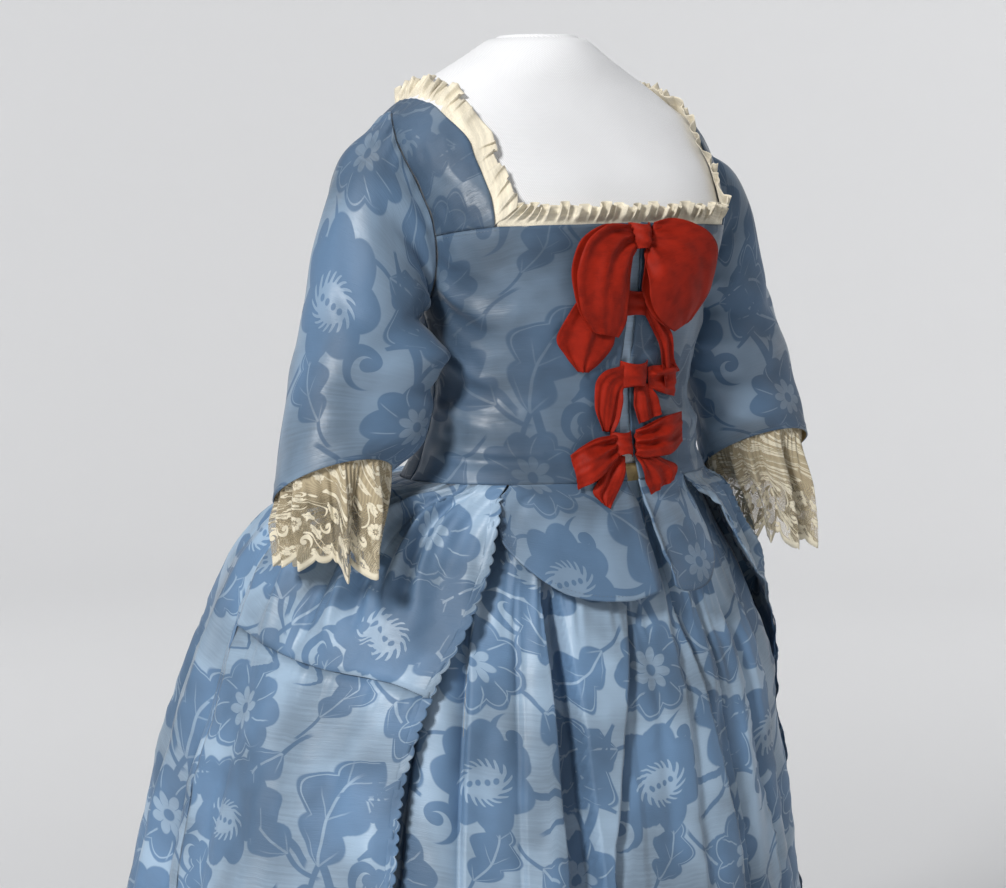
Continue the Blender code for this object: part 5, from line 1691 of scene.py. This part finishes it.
def make_bows(material):
    """Loops, tails and knots of the four bows."""
    pieces = []
    for seed, (name, table) in enumerate(BOW_RIBBONS.items()):
        if "loop" in name and name != "bow_3_loop_left":
            pieces.append((name, loop_points(table, seed), "folded"))
        else:
            pieces.append((name, tail_points(table, seed), "laid"))
    for seed, (name, *sizes) in enumerate(BOW_KNOTS):
        pieces.append((name, knot_points(*sizes, seed), "folded"))
    for name, points, held in pieces:
        if np.cross(points[1, 1] - points[0, 1], points[1, 2] - points[1, 1])[1] > 0.0:
            points = points[::-1] if "knot" in name else points[:, ::-1]
        item = cloth("ribbon_" + name, points, material, thickness=0.0005)
        wear(item, name, "red_silk", held, ["stomacher_strip"], points)


def make_form(material):
    """Limbless torso of padded knit, smooth all round."""
    levels = np.concatenate([np.linspace(0.822, BAND_TOP, 30), np.linspace(1.04, 1.452, 92)])
    count = 136
    angle, height = np.meshgrid(np.linspace(-180.0, 180.0, count + 1), levels, indexing="ij")
    inset = BAND_INSET + (FORM_INSET - BAND_INSET) * steps(BAND_TOP, 1.044, height)
    high = gown_points(angle, np.maximum(height, WAIST), -inset)
    low = ring_points(HIPS, angle, height)
    share = steps(WAIST - 0.01, WAIST + 0.012, height)[..., None]
    points = low * (1.0 - share) + high * share
    points[..., 2] = height
    centre = points[:-1].mean(axis=0)
    rim = [(0.997, 0.001), (0.975, 0.0034), (0.93, 0.0048), (0.5, 0.0056), (0.0, 0.0058)]
    top = [centre[-1] + (points[:, -1] - centre[-1]) * scale + (0.0, 0.0, rise - 0.0056)
           for scale, rise in rim]
    bottom = [centre[0] + (points[:, 0] - centre[0]) * scale for scale in (0.0, 0.5)]
    points = np.stack(bottom + list(np.moveaxis(points, 1, 0)[:-1]) + top, axis=1)
    uv = unroll(points, 0.5, 0.5)
    faces, i, j = cells(count, points.shape[1] - 1, count)
    item = new_object("padded_form", points[:-1].reshape(-1, 3), faces, material,
                      uv[i, j].reshape(-1, 2))
    stand_in(welded(item, 0.00002), "form_torso")


def plain_mesh(item):
    """The item's mesh with its modifiers worked in."""
    graph = bpy.context.evaluated_depsgraph_get()
    return bpy.data.meshes.new_from_object(item.evaluated_get(graph))


def welded(item, reach):
    """The item with its points merged where they are closer than the reach."""
    item.modifiers.new("weld", "WELD").merge_threshold = reach
    mesh = plain_mesh(item)
    item.modifiers.clear()
    old = item.data
    item.data = mesh
    bpy.data.meshes.remove(old)
    mesh.name = item.name
    return item


def turned_solid(name, profile, centre, material, segments=96):
    """Solid turned from rows of (radius, height), with smooth sides and flat ends."""
    data = bmesh.new()
    rings = []
    for radius, height in profile:
        turns = [math.tau * i / segments for i in range(segments)]
        rings.append([data.verts.new((centre[0] + radius * math.cos(t),
                                      centre[1] + radius * math.sin(t), height)) for t in turns])
    for low, high in zip(rings, rings[1:]):
        for i in range(segments):
            j = (i + 1) % segments
            data.faces.new((low[i], low[j], high[j], high[i]))
    data.faces.new(rings[0][::-1])
    data.faces.new(rings[-1])
    mesh = bpy.data.meshes.new(name)
    data.to_mesh(mesh)
    data.free()
    mesh.materials.append(material)
    mesh.shade_smooth()
    mesh.set_sharp_from_angle(angle=math.radians(32))
    return add_object(name, mesh)


def rounded(radius, low, high, size):
    """Profile (radius, height) of a disc or rod with two small rounds; its side leans inwards."""
    turns = [0.5 * math.pi * step / 4 for step in range(5)]
    inner = radius - size
    foot = [(inner + size * math.sin(t), low + size - size * math.cos(t)) for t in turns]
    head = [(inner + size * math.cos(t), high - size + size * math.sin(t)) for t in turns]
    return [*foot, (inner, high), *head]


def make_stand(material):
    """Round base, pole and collar under the form."""
    under = 0.82 - 0.0003
    for node, *sizes in (("stand_base", 0.21, 0.0, 0.01, 0.0028),
                         ("stand_pole", 0.0125, 0.0103, under - 0.0303, 0.0008),
                         ("stand_collar", 0.034, under - 0.03, under, 0.0022)):
        item = turned_solid("visual_" + node, rounded(*sizes), (0.0, 0.01), material)
        stand_in(item, node)


def stitch_tree(material):
    """Geometry Nodes: rounded stitches set end to end along the curve, made real."""
    tree = bpy.data.node_groups.new("stitches_along", "GeometryNodeTree")
    face = tree.interface
    face.new_socket("Seam line", in_out="INPUT", socket_type="NodeSocketGeometry")
    for key, value in (("Spacing", 0.0034), ("Stitch length", 0.0019),
                       ("Thread radius", 0.00022), ("Unevenness", 0.12)):
        socket = face.new_socket(key, in_out="INPUT", socket_type="NodeSocketFloat")
        socket.default_value = value
        socket.subtype = "DISTANCE" if key != "Unevenness" else "FACTOR"
    seed = face.new_socket("Seed", in_out="INPUT", socket_type="NodeSocketInt")
    seed.default_value = 7
    face.new_socket("Stitches", in_out="OUTPUT", socket_type="NodeSocketGeometry")

    w = Wires(tree)
    entry = w.signals("NodeGroupInput", {})
    uneven = entry["Unevenness"]
    points = w.signals("GeometryNodeCurveToPoints",
                       {"Curve": entry["Seam line"], "Length": entry["Spacing"]}, mode="LENGTH")
    thread = w.out("GeometryNodeMeshUVSphere",
                   {"Segments": 8, "Rings": 6, "Radius": entry["Thread radius"]})
    stretch = entry["Stitch length"] / entry["Thread radius"] * 0.5
    size = w.out("ShaderNodeCombineXYZ", {0: 1.0, 1: 1.0, 2: stretch})
    chance = w.out("FunctionNodeRandomValue",
                   {2: 1.0 - uneven, 3: 1.0 + uneven, "Seed": entry["Seed"]}, 1,
                   data_type="FLOAT")
    scaled = w.out("ShaderNodeVectorMath", {0: size, "Scale": chance}, operation="SCALE")
    copies = w.out("GeometryNodeInstanceOnPoints",
                   {"Points": points["Points"], "Instance": thread,
                    "Rotation": points["Rotation"], "Scale": scaled})
    real = w.out("GeometryNodeRealizeInstances", {"Geometry": copies})
    paint = w.out("GeometryNodeSetMaterial", {"Geometry": real, "Material": material})
    w.node("NodeGroupOutput", {"Stitches": paint})
    return tree


def set_input(modifier, name, value):
    """A named input of a Geometry Nodes modifier, set by its socket's identifier."""
    for socket in modifier.node_group.interface.items_tree:
        if socket.item_type == "SOCKET" and socket.in_out == "INPUT" and socket.name == name:
            modifier[socket.identifier] = value
            return
    raise KeyError(name)


def sew(name, lines, tree, spacing, length):
    """Stitches along lines of points, as one plain mesh."""
    curve = bpy.data.curves.new(name, "CURVE")
    curve.dimensions = "3D"
    for points in lines:
        spline = curve.splines.new("POLY")
        spline.points.add(len(points) - 1)
        flat = np.concatenate([points, np.ones((len(points), 1))], axis=1)
        spline.points.foreach_set("co", flat.astype(np.float32).ravel())
    holder = add_object(name + "_line", curve)
    modifier = holder.modifiers.new("stitches", "NODES")
    modifier.node_group = tree
    set_input(modifier, "Spacing", spacing)
    set_input(modifier, "Stitch length", length)
    mesh = plain_mesh(holder)
    bpy.data.objects.remove(holder)
    mesh.name = name
    mesh.shade_smooth()
    item = add_object(name, mesh)
    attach(item, "root")


def sew_seams(tree):
    """Stitches along the shoulder and back seams, and round the tabs."""
    t = np.linspace(0.0, 1.0, 160)
    neck = trail(NECK_CURVE)
    share = shoulder_share(neck)
    for label, side in SIDES:
        def line(spots, lift=0.0003):
            return gown_points(side * spots[:, 0], spots[:, 1], lift)
        corner = straight(neck(0.0), armhole(STRAP_TURN))(t)
        strap_front = corner + (0.0, -0.003)
        sides = back_seam()(t) - (1.2, 0.0)
        shoulder = straight(armhole(BACK_STRAP_TURN), neck(share))(t) + (1.6, 0.0)
        sew("seam_stitches_" + label, [line(strap_front), line(sides), line(shoulder)], tree,
            0.0034, 0.0018)
        tab = trail(RIGHT_TAB if side < 0 else LEFT_TAB)(t)
        height = tab[:, 1] + 0.0045
        lift = tab_lift(height) + 0.0004
        sew("tab_stitches_" + label, [gown_points(side * tab[:, 0], height, lift)], tree,
            0.0042, 0.0016)


class GownSettings(bpy.types.PropertyGroup):
    """Colours of the gown and its form"""
    ground: bpy.props.FloatVectorProperty(
        name="Ground", description="Colour of the silk ground", subtype="COLOR", size=3,
        default=(0.222, 0.294, 0.368), min=0.0, max=1.0)
    figure: bpy.props.FloatVectorProperty(
        name="Figure", description="Colour of the woven flowers", subtype="COLOR", size=3,
        default=(0.069, 0.126, 0.208), min=0.0, max=1.0)
    # The centre strip is paler than the damask: painted light of the strip lit between the fronts
    strip: bpy.props.FloatVectorProperty(
        name="Centre strip", description="Colour of the pale silk between the fronts",
        subtype="COLOR", size=3, default=(0.38, 0.5, 0.64), min=0.0, max=1.0)
    ribbon: bpy.props.FloatVectorProperty(
        name="Ribbon", description="Colour of the bows", subtype="COLOR", size=3,
        default=(0.3, 0.015, 0.0052), min=0.0, max=1.0)
    ruffle: bpy.props.FloatVectorProperty(
        name="Ruffle", description="Colour of the neck ruffle", subtype="COLOR", size=3,
        default=(0.88, 0.8, 0.63), min=0.0, max=1.0)
    lace: bpy.props.FloatVectorProperty(
        name="Lace", description="Colour of the lace flounces", subtype="COLOR", size=3,
        default=(0.67, 0.61, 0.47), min=0.0, max=1.0)
    lining: bpy.props.FloatVectorProperty(
        name="Lining", description="Colour of the linen lining and waistband", subtype="COLOR",
        size=3, default=(0.46, 0.34, 0.16), min=0.0, max=1.0)
    knit: bpy.props.FloatVectorProperty(
        name="Knit", description="Colour of the form's knit cover", subtype="COLOR", size=3,
        default=(0.84, 0.84, 0.85), min=0.0, max=1.0)
    steel: bpy.props.FloatVectorProperty(
        name="Stand", description="Colour of the stand's steel", subtype="COLOR", size=3,
        default=(0.62, 0.63, 0.65), min=0.0, max=1.0)


class StageSettings(bpy.types.PropertyGroup):
    """Backdrop and camera"""
    backdrop: bpy.props.FloatVectorProperty(
        name="Backdrop", description="Colour of the floor and backdrop", subtype="COLOR", size=3,
        default=(0.8, 0.8, 0.805), min=0.0, max=1.0)
    distance: bpy.props.FloatProperty(
        name="Camera distance", description="From the camera to the gown's axis",
        default=2.6, min=1.0, unit="LENGTH")
    azimuth: bpy.props.FloatProperty(
        name="Azimuth", description="Turn of the camera from the front",
        default=math.radians(-37.0), subtype="ANGLE")
    elevation: bpy.props.FloatProperty(
        name="Elevation", description="Rise of the camera above the aim",
        default=math.radians(5.5), subtype="ANGLE")
    view_width: bpy.props.FloatProperty(
        name="View width", description="Width seen at the gown's axis", default=1.006,
        min=0.1, unit="LENGTH")


def material_of(name):
    """The finish of that name, made on first use."""
    look = bpy.context.scene.gown
    maker, *values = {
        # Lit and shaded copies of one damask: the bodice darker, as painted shade, the sleeves a
        # little and the skirts much lighter, as painted light, each with its own painted sheen
        # contrast
        "damask_bodice": (damask_material, look.ground, look.figure, 0.72, 0.44, 0.41),
        "damask_sleeve": (damask_material, look.ground, look.figure, 1.04, 0.56, 0.42),
        "damask_skirt": (damask_material, look.ground, look.figure, 1.34, 0.78, 0.42),
        "strip_silk": (plain_silk, look.strip, 0.45),
        "red_ribbon": (ribbon_material, look.ribbon),
        "linen": (linen_material, look.lining),
        "gauze": (gauze_material, look.ruffle),
        "fine_lace": (lace_material, look.lace),
        "white_knit": (knit_material, look.knit),
        "satin_steel": (steel_material, look.steel),
        "thread": (plain_silk, [c * 0.62 for c in look.ground], 0.6),
        "stage_grey": (stage_material, bpy.context.scene.gown_stage.backdrop),
    }[name]
    return bpy.data.materials.get(name) or maker(name, *values)


class GOWN_OT_form(bpy.types.Operator):
    """Padded torso and the stand under it"""
    bl_idname = "gown.form"
    bl_label = "Dress form"

    def execute(self, context):
        make_form(material_of("white_knit"))
        make_stand(material_of("satin_steel"))
        return {"FINISHED"}


class GOWN_OT_bodice(bpy.types.Operator):
    """Fronts with their tabs, centre strip, straps and quartered back"""
    bl_idname = "gown.bodice"
    bl_label = "Bodice"

    def execute(self, context):
        silk = material_of("damask_bodice")
        make_strip(material_of("strip_silk"))
        for row in SIDES:
            # The tabs take the sleeves' lighter copy of the damask: painted light
            make_front(*row, silk, material_of("damask_sleeve"), material_of("linen"))
            make_strap(*row, silk)
            make_back(*row, silk)
        return {"FINISHED"}


class GOWN_OT_sleeves(bpy.types.Operator):
    """Elbow-length sleeves"""
    bl_idname = "gown.sleeves"
    bl_label = "Sleeves"

    def execute(self, context):
        for row in SIDES:
            make_sleeve(*row, material_of("damask_sleeve"), material_of("linen"))
        return {"FINISHED"}


class GOWN_OT_lace(bpy.types.Operator):
    """Gathered lace flounces under the sleeve hems"""
    bl_idname = "gown.lace"
    bl_label = "Lace flounces"

    def execute(self, context):
        for row in SIDES:
            make_lace(*row, material_of("fine_lace"))
        return {"FINISHED"}


class GOWN_OT_ruffle(bpy.types.Operator):
    """Pleated ruffle round the neckline"""
    bl_idname = "gown.ruffle"
    bl_label = "Neck ruffle"

    def execute(self, context):
        make_ruffles(material_of("gauze"))
        return {"FINISHED"}


class GOWN_OT_petticoat(bpy.types.Operator):
    """The four breadths of the petticoat"""
    bl_idname = "gown.petticoat"
    bl_label = "Petticoat"

    def execute(self, context):
        make_petticoat(material_of("damask_skirt"), material_of("linen"))
        return {"FINISHED"}


class GOWN_OT_overskirt(bpy.types.Operator):
    """The gown's open skirt with its pinked front edges"""
    bl_idname = "gown.overskirt"
    bl_label = "Overskirt"

    def execute(self, context):
        make_overskirt(material_of("damask_skirt"))
        return {"FINISHED"}


class GOWN_OT_bows(bpy.types.Operator):
    """Four silk ribbon bows down the front"""
    bl_idname = "gown.bows"
    bl_label = "Bows"

    def execute(self, context):
        make_bows(material_of("red_ribbon"))
        return {"FINISHED"}


class GOWN_OT_stitches(bpy.types.Operator):
    """Hand stitches along the seams and tabs"""
    bl_idname = "gown.stitches"
    bl_label = "Stitches"

    def execute(self, context):
        sew_seams(stitch_tree(material_of("thread")))
        return {"FINISHED"}


class GOWN_OT_stage(bpy.types.Operator):
    """Round pale backdrop, soft lights and the camera"""
    bl_idname = "gown.stage"
    bl_label = "Stage"

    def execute(self, context):
        look = context.scene.gown_stage
        make_backdrop(material_of("stage_grey"))
        make_lights()
        make_camera(look.distance, look.azimuth, look.elevation, look.view_width)
        return {"FINISHED"}


def make_backdrop(material):
    """Bowl round the gown: floor, wide curve and wall in one surface."""
    floor = -0.0015
    turn = np.linspace(0.0, 0.5 * math.pi, 19)
    radius = np.concatenate([(0.0, 2.0), 6.0 + 3.0 * np.sin(turn), (9.0,)])
    height = np.concatenate([(floor, floor), 3.0 + floor - 3.0 * np.cos(turn), (6.5,)])
    count = 96
    angle = math.tau * np.arange(count)[:, None] / count
    points = np.stack([np.cos(angle) * radius, np.sin(angle) * radius,
                       np.tile(height, (count, 1))], axis=-1)
    faces = cells(count, len(radius) - 1, count)[0][:, ::-1]
    item = new_object("stage_bowl", points.reshape(-1, 3), faces, material)
    welded(item, 0.0001)


def make_lights():
    """Plain view transform, a weak sky and five round lamps."""
    bpy.context.scene.view_settings.view_transform = "Standard"
    world = bpy.data.worlds.new("soft_room")
    bpy.context.scene.world = world
    world.use_nodes = True
    sky = world.node_tree.nodes["Background"]
    sky.inputs["Color"].default_value = (0.93, 0.96, 1.0, 1.0)
    sky.inputs["Strength"].default_value = 0.22
    rows = (
        ("key", (-4.1, -1.9, 3.4), (0.0, 0.0, 0.95), 0.9, 240.0),
        ("fill", (2.8, -2.6, 2.0), (0.0, 0.0, 0.9), 2.4, 9.0),
        ("top", (0.2, 0.6, 4.2), (0.0, 0.0, 1.0), 2.2, 26.0),
        ("wall_left", (-0.5, 3.5, 4.6), (1.5, 9.0, 1.6), 2.5, 118.0),
        ("wall_right", (4.0, 1.0, 4.6), (9.0, 4.0, 1.6), 2.5, 118.0),
    )
    for name, place, aim, size, power in rows:
        light = bpy.data.lights.new(name, "AREA")
        light.shape = "DISK"
        light.size = size
        light.energy = power
        item = add_object(name, light)
        item.location = place
        way = Vector(aim) - Vector(place)
        item.rotation_euler = way.to_track_quat("-Z", "Y").to_euler()


# The camera's aim: its height, and how far the gown's axis lies beside the picture's middle
AIM_HEIGHT = 1.046
AIM_ASIDE = 0.054


def make_camera(distance, azimuth, elevation, view_width):
    """Camera at a distance and turn from the gown, with a given width in view at its axis."""
    aim = Vector((-math.cos(azimuth) * AIM_ASIDE, -math.sin(azimuth) * AIM_ASIDE, AIM_HEIGHT))
    way = Vector((math.sin(azimuth) * math.cos(elevation),
                  -math.cos(azimuth) * math.cos(elevation), math.sin(elevation)))
    data = bpy.data.cameras.new("camera")
    data.sensor_width = 36.0
    data.lens = 36.0 * distance / view_width
    data.clip_end = 60.0
    item = add_object("camera", data)
    item.location = aim + way * distance
    item.rotation_euler = (-way).to_track_quat("-Z", "Y").to_euler()
    bpy.context.scene.camera = item


class GOWN_PT_panel(bpy.types.Panel):
    """The gown's settings and operators, in the sidebar"""
    bl_label = "Damask gown"
    bl_idname = "GOWN_PT_panel"
    bl_space_type = "VIEW_3D"
    bl_region_type = "UI"
    bl_category = "Gown"

    def draw(self, context):
        layout = self.layout
        for settings in (context.scene.gown, context.scene.gown_stage):
            for key in settings.__annotations__:
                layout.prop(settings, key)
        for piece in PIECES:
            layout.operator(piece.bl_idname)


# In the order in which they are made
PIECES = (GOWN_OT_form, GOWN_OT_bodice, GOWN_OT_sleeves, GOWN_OT_lace, GOWN_OT_ruffle,
          GOWN_OT_petticoat, GOWN_OT_overskirt, GOWN_OT_bows, GOWN_OT_stitches, GOWN_OT_stage)


CLASSES = (GownSettings, StageSettings, *PIECES, GOWN_PT_panel)


def register():
    """Adds the settings, the operators and the panel to Blender."""
    for item in CLASSES:
        bpy.utils.register_class(item)
    bpy.types.Scene.gown = bpy.props.PointerProperty(type=GownSettings)
    bpy.types.Scene.gown_stage = bpy.props.PointerProperty(type=StageSettings)


def unregister():
    """Takes them out again."""
    del bpy.types.Scene.gown_stage
    del bpy.types.Scene.gown
    for item in reversed(CLASSES):
        bpy.utils.unregister_class(item)


def main():
    """Builds every piece and the stage."""
    register()
    bpy.ops.gown.form()
    bpy.ops.gown.bodice()
    bpy.ops.gown.sleeves()
    bpy.ops.gown.lace()
    bpy.ops.gown.ruffle()
    bpy.ops.gown.petticoat()
    bpy.ops.gown.overskirt()
    bpy.ops.gown.bows()
    bpy.ops.gown.stitches()
    bpy.ops.gown.stage()


if __name__ == "__main__":
    main()
